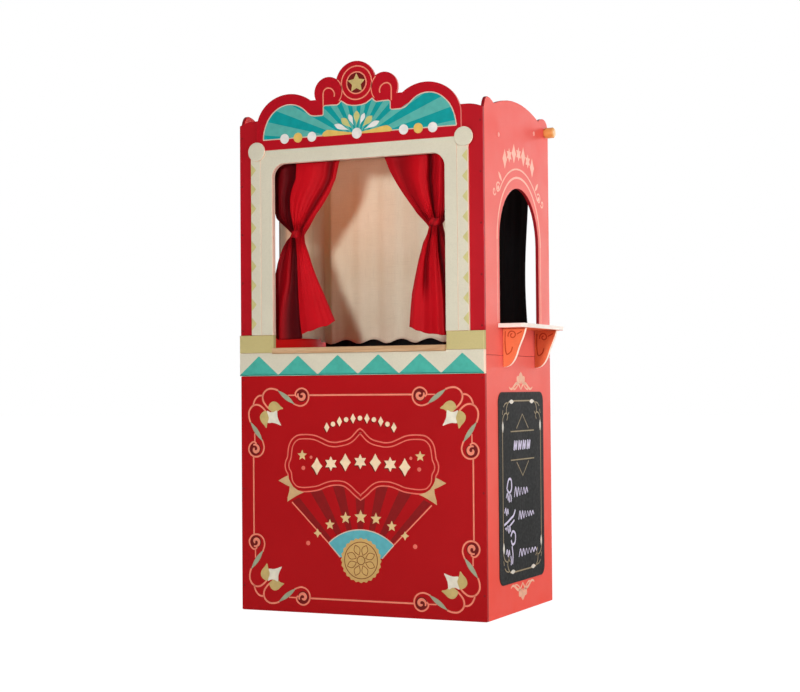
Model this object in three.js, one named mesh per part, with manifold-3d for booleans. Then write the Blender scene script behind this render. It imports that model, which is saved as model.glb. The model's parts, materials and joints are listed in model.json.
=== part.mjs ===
// Puppet theater stand for children: painted board panels round a stage opening with gathered curtains.
// Millimetres, +Z up. The audience is on the -Y side and the puppeteer on the +Y side.
// The origin is the middle of the lower front panel's bottom edge, halfway through its thickness.
import * as THREE from "three";
import { mergeVertices } from "three/addons/utils/BufferGeometryUtils.js";
import Module from "manifold-3d";

const wasm = await Module();
wasm.setup();

// Carcass
const bodyWidth = 700;
const bodyDepth = 480;
const panelThick = 9;
const overlayThick = 8;
const fasciaProud = 6;
const edgeEase = 1.2;
const seatGap = 0.3;
const cutOverrun = 5;

// Heights of the front boards, each from the one below
const lowerPanelHeight = 618;
const fasciaHeight = 61;
const cornerBlockHeight = 47;
const openingHeight = 499;
const frameTopHeight = 37;
const shoulderRise = 72;
const crownRise = 10;
const crownRun = 45;

// Widths of the front boards, from the side edge inwards
const sideMargin = 38;
const pilasterWidth = 30;
const frameSideWidth = 34;
const openingCorner = 35;
const panelCorner = 3;

// Finial discs and crest board
const finialRadius = 25;
const finialThick = 5;
const finialShift = 5;
const finialDrop = 2;
const crestInset = 3;
const lobeHalfWidth = 97;
const lobeSpringRise = 58;
const lobeRise = 87;
const valleyRise = 123;
const voluteRise = 140;
const voluteRadius = 40.5;
const voluteLap = 18;
const medallionLift = 18;
const medallionRadius = 57.5;

// Stage board and the rail that carries it
const stageBoardThick = 12.7;
const stageBoardDepth = 75;
const nosingProud = 8;
const nosingDrop = 3;
const nosingRound = 2.5;
const counterRailHeight = 88;
const counterRailThick = 18;

// Corner posts, splice battens and rear stretcher
const postWidth = 18;
const postDepth = 14;
const postFootRise = 12;
const postTopDrop = 20;
const spliceThick = 12;
const spliceHeight = 46;
const spliceFrontInset = 30;
const spliceRearInset = 50;
const stretcherRise = 30;
const stretcherHeight = 60;
const stretcherThick = 18;
const stretcherInset = 7;

// Side panels: joint, wavy top edge and arched window
const sideSplitDrop = 61;
const sideShoulderRise = 4;
const sideKnobRise = 30;
const sideValleyRise = 19;
const sideCrownRise = 45;
const sideKnobInset = 36;
const sideValleyInset = 77;
const windowFrontMargin = 106;
const windowRearMargin = 85;
const windowSillRise = 20;
const windowStraight = 215;

// Shelf, its brackets and the chalkboard on the right side
const shelfDepth = 70;
const shelfThick = 11;
const shelfCorner = 9;
const shelfFrontLap = 14;
const shelfRearLap = 5;
const bracketThick = 12;
const bracketHeight = 100;
const bracketReach = 62;
const bracketInset = 31;
const bracketCurveShares = [
  [0.97, 0.93],
  [0.9, 0.8],
  [0.79, 0.64],
  [0.67, 0.46],
  [0.57, 0.28],
  [0.42, 0.12],
  [0.22, 0.02],
];
const chalkboardThick = 1.5;
const chalkboardCorner = 26;
const chalkboardFrontMargin = 84;
const chalkboardRearMargin = 66;
const chalkboardFootMargin = 79;
const chalkboardHeadMargin = 94;

// Tie rails between the side panels, with a cap over each screw
const tieRailSize = 18;
const frontRailInset = 106;
const frontRailDrop = 57;
const rearRailInset = 114;
const rearRailDrop = 20;
const capRadius = 6;
const capHeight = 2;

// Rear rod with its wooden knobs
const rearRodRadius = 9;
const rearRodInset = 25;
const rearRodDrop = 7;
const rodHoleClear = 0.3;
const knobRadius = 14.5;
const knobNeckRadius = 12;
const knobLength = 28;
const knobRound = 4;
const knobBoreDepth = 18;

// Front curtain rod and its sockets
const curtainRodRadius = 6;
const curtainRodRise = 30;
const socketRadius = 11;
const socketDepth = 12;
const socketFloor = 3;
const socketClear = 0.7;

// Bent rail of the backdrop cloth
const bentRailRadius = 3;
const bentRailDrop = 44;
const bentRailWallGap = 9;
const bentRailRearInset = 50;
const bentRailBend = 18;
const railBlockClear = 48.7;
const railBlockDepth = 12;
const railBlockHeight = 18;
const railBlockWidth = 16;

// Soft parts: stage curtains with their tie bands, backdrop and blackout cloths
const curtainHeaderDepth = 22;
const curtainHeaderAbove = 12;
const curtainHeaderBelow = 16;
const pocketClear = 0.5;
const curtainTopLap = 27;
const curtainHemLap = 16;
const curtainHalfDepth = 10;
const pleatDepth = 4;
const pleatCount = 5;
const tieHeight = 22;
const tieThick = 3;
const tieCorner = 4;
const waistMargin = 4;
const leftDrape = { topInner: 58, waistInset: 37, waistWidth: 24, waistDrop: 184,
  hemInner: 88, hemInnerRise: 70, hemOuterRise: 26 };
const rightDrape = { topInner: 60, waistInset: 32, waistWidth: 30, waistDrop: 171,
  hemInner: 125, hemInnerRise: 50, hemOuterRise: 24 };
const backdropThick = 10;
const backdropReach = 461;
const backdropHemRise = 24;
const backdropTopAbove = 7;
const backdropEndClear = 6;
const blackoutThick = 12;
const blackoutHeaderDepth = 24;
const blackoutHeaderAbove = 13;
const blackoutHeaderBelow = 25;
const blackoutLeftClear = 16;
const blackoutRightClear = 46;
const blackoutHemDrop = 52;

// Steps of curved surfaces
const arcSteps = 10;
const cornerSteps = 2;
const bendSteps = 5;
const circleSteps = 18;
const bracketSteps = 14;
const roundSides = 24;
const thinSides = 12;
const drapeColumns = 20;
const drapeRows = 5;
const rightAngle = Math.PI / 2;

// Places worked out from the sizes
const halfWidth = bodyWidth / 2;
const innerHalf = halfWidth - panelThick;
const frontFace = -panelThick / 2;
const backFace = panelThick / 2;
const rearEdge = frontFace + bodyDepth;
const sideFront = backFace + seatGap;
const overlayFront = frontFace - seatGap - overlayThick;
const fasciaFront = frontFace - fasciaProud;
const fasciaTop = lowerPanelHeight + fasciaHeight;
const blockTop = fasciaTop + cornerBlockHeight;
const upperBottom = blockTop + seatGap;
const openingTop = fasciaTop + openingHeight;
const frameTop = openingTop + frameTopHeight;
const shoulderTop = frameTop + shoulderRise;
const crownTop = shoulderTop + crownRise;
const pilasterOuter = halfWidth - sideMargin;
const pilasterInner = pilasterOuter - pilasterWidth;
const pilasterCentre = pilasterOuter - pilasterWidth / 2;
const openingHalf = pilasterInner - frameSideWidth;
const crestBase = frameTop + seatGap;
const crestHalf = pilasterCentre - crestInset;
const stageBottom = fasciaTop + seatGap;
const stageTop = stageBottom + stageBoardThick;
const postInner = innerHalf - seatGap - postWidth;
const postBack = sideFront + postDepth;
const sideSplit = blockTop - sideSplitDrop;
const windowBottom = blockTop + windowSillRise;
const windowFront = frontFace + windowFrontMargin;
const windowRear = rearEdge - windowRearMargin;
const windowHalf = (windowRear - windowFront) / 2;
const windowCentre = (windowRear + windowFront) / 2;
const windowSpring = windowBottom + windowStraight;
const rearRodY = rearEdge - rearRodInset;
const rearRodZ = shoulderTop - rearRodDrop;
const curtainRodY = postBack + socketClear + socketRadius;
const curtainRodZ = openingTop + curtainRodRise;
const frontRailY = frontFace + frontRailInset;
const bentRailFront = frontRailY + tieRailSize / 2 + railBlockClear + railBlockDepth + seatGap;
const bentRailY = rearEdge - bentRailRearInset;
const bentRailZ = shoulderTop - bentRailDrop;
const bentRailX = -(innerHalf - bentRailWallGap);
const curtainOuterTop = openingHalf + curtainTopLap;
const curtainOuterHem = openingHalf + curtainHemLap;

// Paints and cloths
const paint = (color, roughness) => new THREE.MeshStandardMaterial({ color, roughness, metalness: 0 });
const redPaint = paint(0xaf191c, 0.45);
const coralPaint = paint(0xee7469, 0.5);
const creamPaint = paint(0xcdc8b4, 0.5);
const goldPaint = paint(0xc3b478, 0.5);
const orangePaint = paint(0xeb783c, 0.5);
const bareWood = paint(0xd6af87, 0.6);
const slatePaint = paint(0x373734, 0.85);
const redCloth = paint(0xb4101a, 0.9);
const beigeCloth = paint(0xcbbba0, 0.9);
const blackCloth = paint(0x0c0c0c, 0.95);
const steel = new THREE.MeshStandardMaterial({ color: 0xb9bcbf, roughness: 0.35, metalness: 1 });

const stand = new THREE.Group();

// A closed geometry as a solid, and a solid as a geometry
function solidOf(geometry) {
  const bare = geometry.clone();
  bare.deleteAttribute("normal");
  bare.deleteAttribute("uv");
  const merged = mergeVertices(bare, seatGap / 1000);
  const vertProperties = new Float32Array(merged.attributes.position.array);
  const triVerts = new Uint32Array(merged.index.array);
  return new wasm.Manifold(new wasm.Mesh({ numProp: 3, vertProperties, triVerts }));
}

function geometryOf(solid) {
  const mesh = solid.getMesh();
  const places = new THREE.BufferAttribute(new Float32Array(mesh.vertProperties), mesh.numProp);
  const geometry = new THREE.BufferGeometry().setAttribute("position", places);
  geometry.setIndex(new THREE.BufferAttribute(new Uint32Array(mesh.triVerts), 1));
  const flat = geometry.toNonIndexed();
  flat.computeVertexNormals();
  return flat;
}

function joined(geometries) {
  return geometryOf(geometries.map(solidOf).reduce((whole, next) => whole.add(next)));
}

function cut(geometry, tools) {
  return geometryOf(tools.map(solidOf).reduce((rest, tool) => rest.subtract(tool), solidOf(geometry)));
}

// Extrusions along the local z axis, from zero to the thickness
function board(outline, thick, curveSegments = arcSteps) {
  const geometry = new THREE.ExtrudeGeometry(outline, {
    depth: thick - 2 * edgeEase,
    bevelEnabled: true,
    bevelThickness: edgeEase,
    bevelSize: edgeEase,
    bevelOffset: -edgeEase,
    bevelSegments: 2,
    curveSegments,
  });
  return geometry.translate(0, 0, edgeEase);
}

function slab(outline, thick, curveSegments = arcSteps) {
  return new THREE.ExtrudeGeometry(outline, { depth: thick, bevelEnabled: false, curveSegments });
}

// Outlines
function rectangle(left, bottom, right, top) {
  const outline = new THREE.Shape();
  outline.moveTo(left, bottom).lineTo(right, bottom).lineTo(right, top).lineTo(left, top);
  return outline;
}

function roundedRectangle(left, bottom, right, top, corner) {
  const outline = new THREE.Shape();
  outline.absarc(right - corner, bottom + corner, corner, -rightAngle, 0, false);
  outline.absarc(right - corner, top - corner, corner, 0, rightAngle, false);
  outline.absarc(left + corner, top - corner, corner, rightAngle, Math.PI, false);
  outline.absarc(left + corner, bottom + corner, corner, Math.PI, 3 * rightAngle, false);
  return outline;
}

function archOutline(Kind, centre, half, bottom, spring, rise) {
  const outline = new Kind();
  outline.moveTo(centre - half, bottom);
  outline.lineTo(centre + half, bottom);
  outline.absellipse(centre, spring, half, rise, 0, Math.PI, false);
  return outline;
}

function disc(centreX, centreY, radius) {
  const outline = new THREE.Shape();
  outline.absarc(centreX, centreY, radius, 0, 2 * Math.PI, false);
  return outline;
}

// An inverted U round the stage opening; the caller adds the outer edge from the right foot on
function openingOutline(outerHalf, foot) {
  const outline = new THREE.Shape();
  const cornerX = openingHalf - openingCorner;
  const cornerZ = openingTop - openingCorner;
  outline.moveTo(-outerHalf, foot);
  outline.lineTo(-openingHalf, foot);
  outline.absarc(-cornerX, cornerZ, openingCorner, Math.PI, rightAngle, true);
  outline.absarc(cornerX, cornerZ, openingCorner, rightAngle, 0, true);
  outline.lineTo(openingHalf, foot);
  outline.lineTo(outerHalf, foot);
  return outline;
}

// Placing: a front board's outline is X and Z, a side board's is Y and Z, a plan outline is X and Y
function addMesh(name, geometry, material) {
  const mesh = new THREE.Mesh(geometry, material);
  mesh.name = name;
  stand.add(mesh);
  return mesh;
}

function addFront(name, geometry, material, front, thick) {
  const mesh = addMesh(name, geometry, material);
  mesh.rotation.set(rightAngle, 0, 0);
  mesh.position.y = front + thick;
}

function addSide(name, geometry, material, left) {
  const mesh = addMesh(name, geometry, material);
  mesh.rotation.set(rightAngle, 0, rightAngle, "ZYX");
  mesh.position.x = left;
}

function addPlan(name, geometry, material, bottom) {
  addMesh(name, geometry, material).position.z = bottom;
}

// Turned pieces are revolved round Y and then laid along X; side is 1 for right and -1 for left
function addTurned(name, profile, material, startX, side, y, z) {
  const geometry = new THREE.LatheGeometry(profile.map(([r, h]) => new THREE.Vector2(r, h)), roundSides);
  const mesh = addMesh(name, geometry, material);
  mesh.rotation.z = -side * rightAngle;
  mesh.position.set(startX, y, z);
}

const sides = [
  { name: "left", sign: -1 },
  { name: "right", sign: 1 },
];

// Front boards

function makeLowerFront() {
  const outline = roundedRectangle(-halfWidth, 0, halfWidth, lowerPanelHeight, panelCorner);
  addFront("lower_front_panel", board(outline, panelThick, cornerSteps), redPaint, frontFace, panelThick);
  const thick = panelThick + fasciaProud;
  const band = rectangle(-halfWidth, lowerPanelHeight + seatGap, halfWidth, fasciaTop);
  addFront("counter_fascia", board(band, thick), creamPaint, fasciaFront, thick);
  for (const { name, sign } of sides) {
    const [near, far] = [sign * openingHalf, sign * halfWidth].sort((a, b) => a - b);
    const block = rectangle(near, fasciaTop + seatGap, far, blockTop);
    addFront(`${name}_corner_block`, board(block, thick), goldPaint, fasciaFront, thick);
  }
}

function makeUpperFront() {
  const outline = openingOutline(halfWidth, upperBottom);
  outline.lineTo(halfWidth, shoulderTop);
  outline.quadraticCurveTo(halfWidth - crownRun / 2, crownTop, halfWidth - crownRun, crownTop);
  outline.lineTo(crownRun - halfWidth, crownTop);
  outline.quadraticCurveTo(crownRun / 2 - halfWidth, crownTop, -halfWidth, shoulderTop);
  addFront("upper_front_panel", board(outline, panelThick), redPaint, frontFace, panelThick);
}

function makeProscenium() {
  const frame = openingOutline(pilasterInner - seatGap, upperBottom);
  frame.lineTo(pilasterInner - seatGap, frameTop);
  frame.lineTo(seatGap - pilasterInner, frameTop);
  addFront("proscenium_frame", board(frame, overlayThick), creamPaint, overlayFront, overlayThick);
  for (const { name, sign } of sides) {
    const [near, far] = [sign * pilasterInner, sign * pilasterOuter].sort((a, b) => a - b);
    const strip = rectangle(near, upperBottom, far, frameTop);
    addFront(`${name}_pilaster`, board(strip, overlayThick), creamPaint, overlayFront, overlayThick);
    const round = disc(sign * pilasterCentre + finialShift, frameTop - finialDrop, finialRadius);
    const front = overlayFront - seatGap - finialThick;
    addFront(`${name}_finial_disc`, board(round, finialThick, circleSteps), creamPaint, front, finialThick);
  }
}

// The crest is one board: two lobes on a straight base, two volutes and a medallion on top
function makeCrest() {
  const lobeX = crestHalf - lobeHalfWidth;
  const lobeZ = crestBase + lobeSpringRise;
  const voluteX = medallionRadius + voluteRadius - voluteLap;
  const voluteZ = crestBase + voluteRise;
  const shapes = [
    rectangle(-lobeX, crestBase, lobeX, crestBase + valleyRise),
    disc(0, voluteZ + medallionLift, medallionRadius),
  ];
  for (const { sign } of sides) {
    shapes.push(archOutline(THREE.Shape, sign * lobeX, lobeHalfWidth, crestBase, lobeZ, lobeRise));
    shapes.push(disc(sign * voluteX, voluteZ, voluteRadius));
  }
  const geometry = joined(shapes.map((shape) => board(shape, overlayThick, circleSteps)));
  addFront("crest_board", geometry, redPaint, overlayFront, overlayThick);
}

// The stage board's nosing laps over the top of the fascia
function makeStageBoard() {
  const nosingFront = fasciaFront - nosingProud;
  const back = backFace + stageBoardDepth;
  const lipBack = fasciaFront - seatGap;
  const outline = new THREE.Shape();
  outline.moveTo(back, stageBottom);
  outline.lineTo(back, stageTop);
  outline.absarc(nosingFront + nosingRound, stageTop - nosingRound, nosingRound, rightAngle, Math.PI, false);
  outline.absarc(nosingFront + nosingRound, stageBottom - nosingDrop + nosingRound, nosingRound,
    Math.PI, 3 * rightAngle, false);
  outline.lineTo(lipBack, stageBottom - nosingDrop);
  outline.lineTo(lipBack, stageBottom);
  const length = 2 * (openingHalf - seatGap);
  addSide("stage_board", slab(outline, length, cornerSteps), bareWood, -length / 2);

  const railEnd = postInner - seatGap;
  const rail = rectangle(-railEnd, fasciaTop - counterRailHeight, railEnd, fasciaTop);
  addFront("counter_rail", slab(rail, counterRailThick), bareWood, sideFront, counterRailThick);
}

// Side panels: the same two boards on each side, screwed behind the front boards

function upperSideOutline() {
  const shoulder = shoulderTop + sideShoulderRise;
  const knob = shoulderTop + sideKnobRise;
  const valley = shoulderTop + sideValleyRise;
  const crown = shoulderTop + sideCrownRise;
  const frontKnob = frontFace + sideKnobInset;
  const rearKnob = rearEdge - sideKnobInset;
  const frontValley = frontFace + sideValleyInset;
  const rearValley = rearEdge - sideValleyInset;
  const crownControl = 2 * crown - valley;
  const outline = new THREE.Shape();
  outline.moveTo(sideFront, sideSplit + seatGap);
  outline.lineTo(rearEdge, sideSplit + seatGap);
  outline.lineTo(rearEdge, shoulder);
  outline.quadraticCurveTo(rearEdge - sideKnobInset / 4, knob, rearKnob, knob);
  outline.quadraticCurveTo((rearKnob + rearValley) / 2, knob, rearValley, valley);
  outline.quadraticCurveTo((frontValley + rearValley) / 2, crownControl, frontValley, valley);
  outline.quadraticCurveTo((frontKnob + frontValley) / 2, knob, frontKnob, knob);
  outline.quadraticCurveTo(frontFace + sideKnobInset / 4 + panelThick, knob, sideFront, shoulder);
  const opening = archOutline(THREE.Path, windowCentre, windowHalf, windowBottom, windowSpring, windowHalf);
  const rodHole = new THREE.Path();
  rodHole.absarc(rearRodY, rearRodZ, rearRodRadius + rodHoleClear, 0, 2 * Math.PI, false);
  outline.holes.push(opening, rodHole);
  return outline;
}

function makeSides() {
  const lower = roundedRectangle(sideFront, 0, rearEdge, sideSplit, panelCorner);
  const splice = rectangle(frontFace + spliceFrontInset, sideSplit - spliceHeight / 2,
    rearEdge - spliceRearInset, sideSplit + spliceHeight / 2);
  for (const { name, sign } of sides) {
    const panelLeft = sign > 0 ? innerHalf : -halfWidth;
    addSide(`${name}_lower_side_panel`, board(lower, panelThick, cornerSteps), coralPaint, panelLeft);
    addSide(`${name}_upper_side_panel`, board(upperSideOutline(), panelThick), coralPaint, panelLeft);
    const spliceLeft = sign > 0 ? innerHalf - seatGap - spliceThick : seatGap - innerHalf;
    addSide(`${name}_splice_batten`, slab(splice, spliceThick), bareWood, spliceLeft);
    const [near, far] = [sign * postInner, sign * (innerHalf - seatGap)].sort((a, b) => a - b);
    const post = rectangle(near, sideFront, far, postBack);
    const postHeight = shoulderTop - postTopDrop - postFootRise;
    addPlan(`${name}_corner_post`, slab(post, postHeight), bareWood, postFootRise);
  }
  const length = 2 * (innerHalf - seatGap);
  const stretcherBack = rearEdge - stretcherInset;
  const stretcher = rectangle(stretcherBack - stretcherThick, stretcherRise,
    stretcherBack, stretcherRise + stretcherHeight);
  addSide("rear_stretcher", slab(stretcher, length), bareWood, -length / 2);
}

// Shelf, brackets and chalkboard on the right side

function bracketOutline(top) {
  const bottom = top - bracketHeight;
  const wall = halfWidth + seatGap;
  const through = [[1, 1], ...bracketCurveShares, [0, 0]].map(
    ([reach, rise]) => new THREE.Vector2(wall + reach * bracketReach, bottom + rise * bracketHeight));
  const curve = new THREE.SplineCurve(through).getSpacedPoints(bracketSteps);
  return new THREE.Shape([new THREE.Vector2(wall, top), ...curve]);
}

function makeShelf() {
  const front = windowFront - shelfFrontLap;
  const rear = windowRear + shelfRearLap;
  const wall = halfWidth + seatGap;
  const outer = wall + shelfDepth;
  const outline = new THREE.Shape();
  outline.moveTo(wall, rear);
  outline.lineTo(wall, front);
  outline.absarc(outer - shelfCorner, front + shelfCorner, shelfCorner, -rightAngle, 0, false);
  outline.absarc(outer - shelfCorner, rear - shelfCorner, shelfCorner, 0, rightAngle, false);
  const shelfBottom = windowBottom - shelfThick;
  addPlan("side_shelf", board(outline, shelfThick, cornerSteps), creamPaint, shelfBottom);

  const bracket = bracketOutline(shelfBottom - seatGap);
  const places = { front: front + bracketInset, rear: rear - bracketInset - bracketThick };
  for (const [name, start] of Object.entries(places)) {
    addFront(`${name}_shelf_bracket`, board(bracket, bracketThick), orangePaint, start, bracketThick);
  }
}

function makeChalkboard() {
  const outline = roundedRectangle(frontFace + chalkboardFrontMargin, chalkboardFootMargin,
    rearEdge - chalkboardRearMargin, sideSplit - chalkboardHeadMargin, chalkboardCorner);
  addSide("chalkboard", slab(outline, chalkboardThick, bendSteps), slatePaint, halfWidth + seatGap);
}

// Rails and rods

function makeTieRails() {
  const rails = [
    { name: "front", y: frontRailY, z: shoulderTop - frontRailDrop },
    { name: "rear", y: rearEdge - rearRailInset, z: shoulderTop - rearRailDrop },
  ];
  const length = 2 * (innerHalf - seatGap);
  const half = tieRailSize / 2;
  const dome = [[0, 0], [capRadius, 0], [capRadius, capHeight / 2], [capRadius / 2, capHeight],
    [0, capHeight]];
  for (const { name, y, z } of rails) {
    const section = rectangle(y - half, z - half, y + half, z + half);
    addSide(`${name}_tie_rail`, slab(section, length), bareWood, -length / 2);
    for (const side of sides) {
      const start = side.sign * (halfWidth + seatGap);
      addTurned(`${side.name}_${name}_rail_cap`, dome, coralPaint, start, side.sign, y, z);
    }
  }
}

function makeRearRod() {
  const reach = halfWidth + seatGap + knobBoreDepth - seatGap;
  const rod = [[0, -reach], [rearRodRadius, -reach], [rearRodRadius, reach], [0, reach]];
  addTurned("rear_rod", rod, bareWood, 0, 1, rearRodY, rearRodZ);
  const bore = rearRodRadius + seatGap;
  const knob = [
    [bore, 0],
    [knobNeckRadius, 0],
    [knobRadius, knobRound],
    [knobRadius, knobLength - knobRound],
    [knobRadius - knobRound / 3, knobLength - knobRound / 3],
    [knobRadius - knobRound, knobLength],
    [0, knobLength],
    [0, knobBoreDepth],
    [bore, knobBoreDepth],
    [bore, 0],
  ];
  for (const { name, sign } of sides) {
    addTurned(`${name}_rod_knob`, knob, bareWood, sign * (halfWidth + seatGap), sign, rearRodY, rearRodZ);
  }
}

function makeCurtainRod() {
  const reach = innerHalf - seatGap - socketFloor - seatGap;
  const rod = [[0, -reach], [curtainRodRadius, -reach], [curtainRodRadius, reach], [0, reach]];
  addTurned("curtain_rod", rod, steel, 0, 1, curtainRodY, curtainRodZ);
  const bore = curtainRodRadius + seatGap;
  const socket = [[0, 0], [socketRadius, 0], [socketRadius, socketDepth], [bore, socketDepth],
    [bore, socketFloor], [0, socketFloor]];
  for (const { name, sign } of sides) {
    const start = sign * (innerHalf - seatGap);
    addTurned(`${name}_rod_socket`, socket, bareWood, start, -sign, curtainRodY, curtainRodZ);
  }
}

// The route of the bent rail in plan, from its front end along the left panel and across the back
function bentRailRoute(startClear, endX) {
  const route = new THREE.CurvePath();
  const start = new THREE.Vector3(bentRailX, bentRailFront + startClear, 0);
  const corner = new THREE.Vector3(bentRailX, bentRailY, 0);
  const before = new THREE.Vector3(bentRailX, bentRailY - bentRailBend, 0);
  const after = new THREE.Vector3(bentRailX + bentRailBend, bentRailY, 0);
  route.add(new THREE.LineCurve3(start, before));
  route.add(new THREE.QuadraticBezierCurve3(before, corner, after));
  route.add(new THREE.LineCurve3(after, new THREE.Vector3(endX, bentRailY, 0)));
  return route;
}

// Points along a route, close together only where it bends
function routePoints(route) {
  const points = route.curves.flatMap((curve) => curve.getPoints(curve.isLineCurve3 ? 1 : arcSteps));
  return points.filter((point, i) => i === 0 || point.distanceTo(points[i - 1]) > seatGap);
}

function tubeAlong(points, radius, sideCount) {
  const rings = points.map((point, i) => {
    const next = points[Math.min(i + 1, points.length - 1)];
    const last = points[Math.max(i - 1, 0)];
    const across = new THREE.Vector3().subVectors(next, last).normalize().cross(new THREE.Vector3(0, 0, 1));
    return Array.from({ length: sideCount }, (_, k) => {
      const angle = (2 * Math.PI * k) / sideCount;
      const spot = point.clone().addScaledVector(across, radius * Math.cos(angle));
      spot.z += radius * Math.sin(angle);
      return spot;
    });
  });
  return loft(rings);
}

// A closed skin over rings of points, with a fan over each end
function loft(rings) {
  const sideCount = rings[0].length;
  const points = rings.flat();
  const faces = [];
  for (let r = 0; r + 1 < rings.length; r += 1) {
    for (let k = 0; k < sideCount; k += 1) {
      const a = r * sideCount + k;
      const b = r * sideCount + ((k + 1) % sideCount);
      faces.push(a, b, b + sideCount, a, b + sideCount, a + sideCount);
    }
  }
  const end = (rings.length - 1) * sideCount;
  for (let k = 1; k + 1 < sideCount; k += 1) {
    faces.push(0, k + 1, k);
    faces.push(end, end + k, end + k + 1);
  }
  return closedGeometry(points, faces);
}

// Turns every face outwards when the points were listed the other way round
function closedGeometry(points, faces) {
  let volume = 0;
  for (let i = 0; i < faces.length; i += 3) {
    const [a, b, c] = [points[faces[i]], points[faces[i + 1]], points[faces[i + 2]]];
    volume += a.dot(new THREE.Vector3().crossVectors(b, c));
  }
  if (volume < 0) faces.reverse();
  const geometry = new THREE.BufferGeometry().setFromPoints(points);
  geometry.setIndex(faces);
  const flat = geometry.toNonIndexed();
  flat.computeVertexNormals();
  return flat;
}

function makeBentRail() {
  const points = routePoints(bentRailRoute(0, innerHalf - seatGap));
  addPlan("backdrop_rail", tubeAlong(points, bentRailRadius, thinSides), steel, bentRailZ);
  const blockRear = bentRailFront - seatGap;
  const wall = seatGap - innerHalf;
  const block = rectangle(wall, blockRear - railBlockDepth, wall + railBlockWidth, blockRear);
  addPlan("backdrop_rail_block", slab(block, railBlockHeight), bareWood, bentRailZ - railBlockHeight / 2);
}

// Cloths

// The backdrop hangs on the bent rail, so its plan is a band along the same route
function makeBackdrop() {
  const endX = backdropReach - innerHalf;
  const points = routePoints(bentRailRoute(backdropEndClear, endX));
  const edge = (sign) => points.map((point, i) => {
    const next = points[Math.min(i + 1, points.length - 1)];
    const last = points[Math.max(i - 1, 0)];
    const across = new THREE.Vector3().subVectors(next, last).normalize().cross(new THREE.Vector3(0, 0, 1));
    const spot = point.clone().addScaledVector(across, (sign * backdropThick) / 2);
    return new THREE.Vector2(spot.x, spot.y);
  });
  const plan = new THREE.Shape([...edge(1), ...edge(-1).reverse()]);
  const hem = stageTop + backdropHemRise;
  const height = bentRailZ + backdropTopAbove - hem;
  const pocket = tubeAlong(routePoints(bentRailRoute(-cutOverrun, endX + cutOverrun)),
    bentRailRadius + pocketClear, thinSides).translate(0, 0, bentRailZ - hem);
  addPlan("backdrop_cloth", cut(slab(plan, height), [pocket]), beigeCloth, hem);
}

function makeBlackout() {
  const hem = stageTop - blackoutHemDrop;
  const headerBottom = rearRodZ - blackoutHeaderBelow;
  const headerTop = rearRodZ + blackoutHeaderAbove;
  const thin = blackoutThick / 2;
  const wide = blackoutHeaderDepth / 2;
  const section = new THREE.Shape();
  section.moveTo(rearRodY - thin, hem).lineTo(rearRodY + thin, hem);
  section.lineTo(rearRodY + thin, headerBottom).lineTo(rearRodY + wide, rearRodZ - rearRodRadius);
  section.lineTo(rearRodY + wide, headerTop).lineTo(rearRodY - wide, headerTop);
  section.lineTo(rearRodY - wide, rearRodZ - rearRodRadius).lineTo(rearRodY - thin, headerBottom);
  const pocket = new THREE.Path();
  pocket.absarc(rearRodY, rearRodZ, rearRodRadius + pocketClear, 0, 2 * Math.PI, false);
  section.holes.push(pocket);
  const width = 2 * innerHalf - blackoutLeftClear - blackoutRightClear;
  addSide("blackout_cloth", slab(section, width), blackCloth, blackoutLeftClear - innerHalf);
}

// A stage curtain hangs from its rod pocket, narrows to the tie band and widens again to the hem
function curtainRows(drape) {
  const waistZ = openingTop - drape.waistDrop;
  const waistOuter = openingHalf - drape.waistInset;
  const waistInner = waistOuter - drape.waistWidth;
  const straight = tieHeight / 2 + waistMargin;
  const top = curtainRodZ - curtainHeaderBelow + waistMargin;
  const levels = [];
  const addLevels = (from, to) => {
    for (let i = 0; i <= drapeRows; i += 1) {
      const t = i / drapeRows;
      const mix = (key) => from[key] + t * (to[key] - from[key]);
      levels.push({ inner: mix("inner"), outer: mix("outer"), innerZ: mix("innerZ"), outerZ: mix("outerZ"),
        pleat: mix("pleat") });
    }
  };
  const hem = { inner: drape.hemInner, outer: curtainOuterHem, innerZ: stageTop + drape.hemInnerRise,
    outerZ: stageTop + drape.hemOuterRise, pleat: pleatDepth };
  const level = (inner, outer, z, pleat) => ({ inner, outer, innerZ: z, outerZ: z, pleat });
  addLevels(hem, level(waistInner, waistOuter, waistZ - straight, 0));
  addLevels(level(waistInner, waistOuter, waistZ + straight, 0),
    level(drape.topInner, curtainOuterTop, top, pleatDepth / 2));
  return levels;
}

function curtainGeometry(drape, sign) {
  const rings = curtainRows(drape).map((level) => {
    const spot = (i, side) => {
      const u = i / drapeColumns;
      const x = level.inner + u * (level.outer - level.inner);
      const y = curtainRodY + side * curtainHalfDepth + level.pleat * Math.sin(2 * Math.PI * pleatCount * u);
      return new THREE.Vector3(sign * x, y, level.innerZ + u * (level.outerZ - level.innerZ));
    };
    const steps = Array.from({ length: drapeColumns + 1 }, (_, i) => i);
    return [...steps.map((i) => spot(i, -1)), ...steps.reverse().map((i) => spot(i, 1))];
  });
  const folds = pairedLoft(rings);
  const header = rectangle(curtainRodY - curtainHeaderDepth / 2, curtainRodZ - curtainHeaderBelow,
    curtainRodY + curtainHeaderDepth / 2, curtainRodZ + curtainHeaderAbove);
  const width = curtainOuterTop - drape.topInner;
  const turn = new THREE.Matrix4().makeRotationFromEuler(new THREE.Euler(rightAngle, 0, rightAngle, "ZYX"));
  const left = sign > 0 ? drape.topInner : -curtainOuterTop;
  const block = slab(header, width).applyMatrix4(turn).translate(left, 0, 0);
  const bore = new THREE.CylinderGeometry(curtainRodRadius + pocketClear, curtainRodRadius + pocketClear,
    width + 2 * cutOverrun, roundSides);
  bore.rotateZ(rightAngle).translate(left + width / 2, curtainRodY, curtainRodZ);
  return geometryOf(solidOf(folds).add(solidOf(block)).subtract(solidOf(bore)));
}

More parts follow.
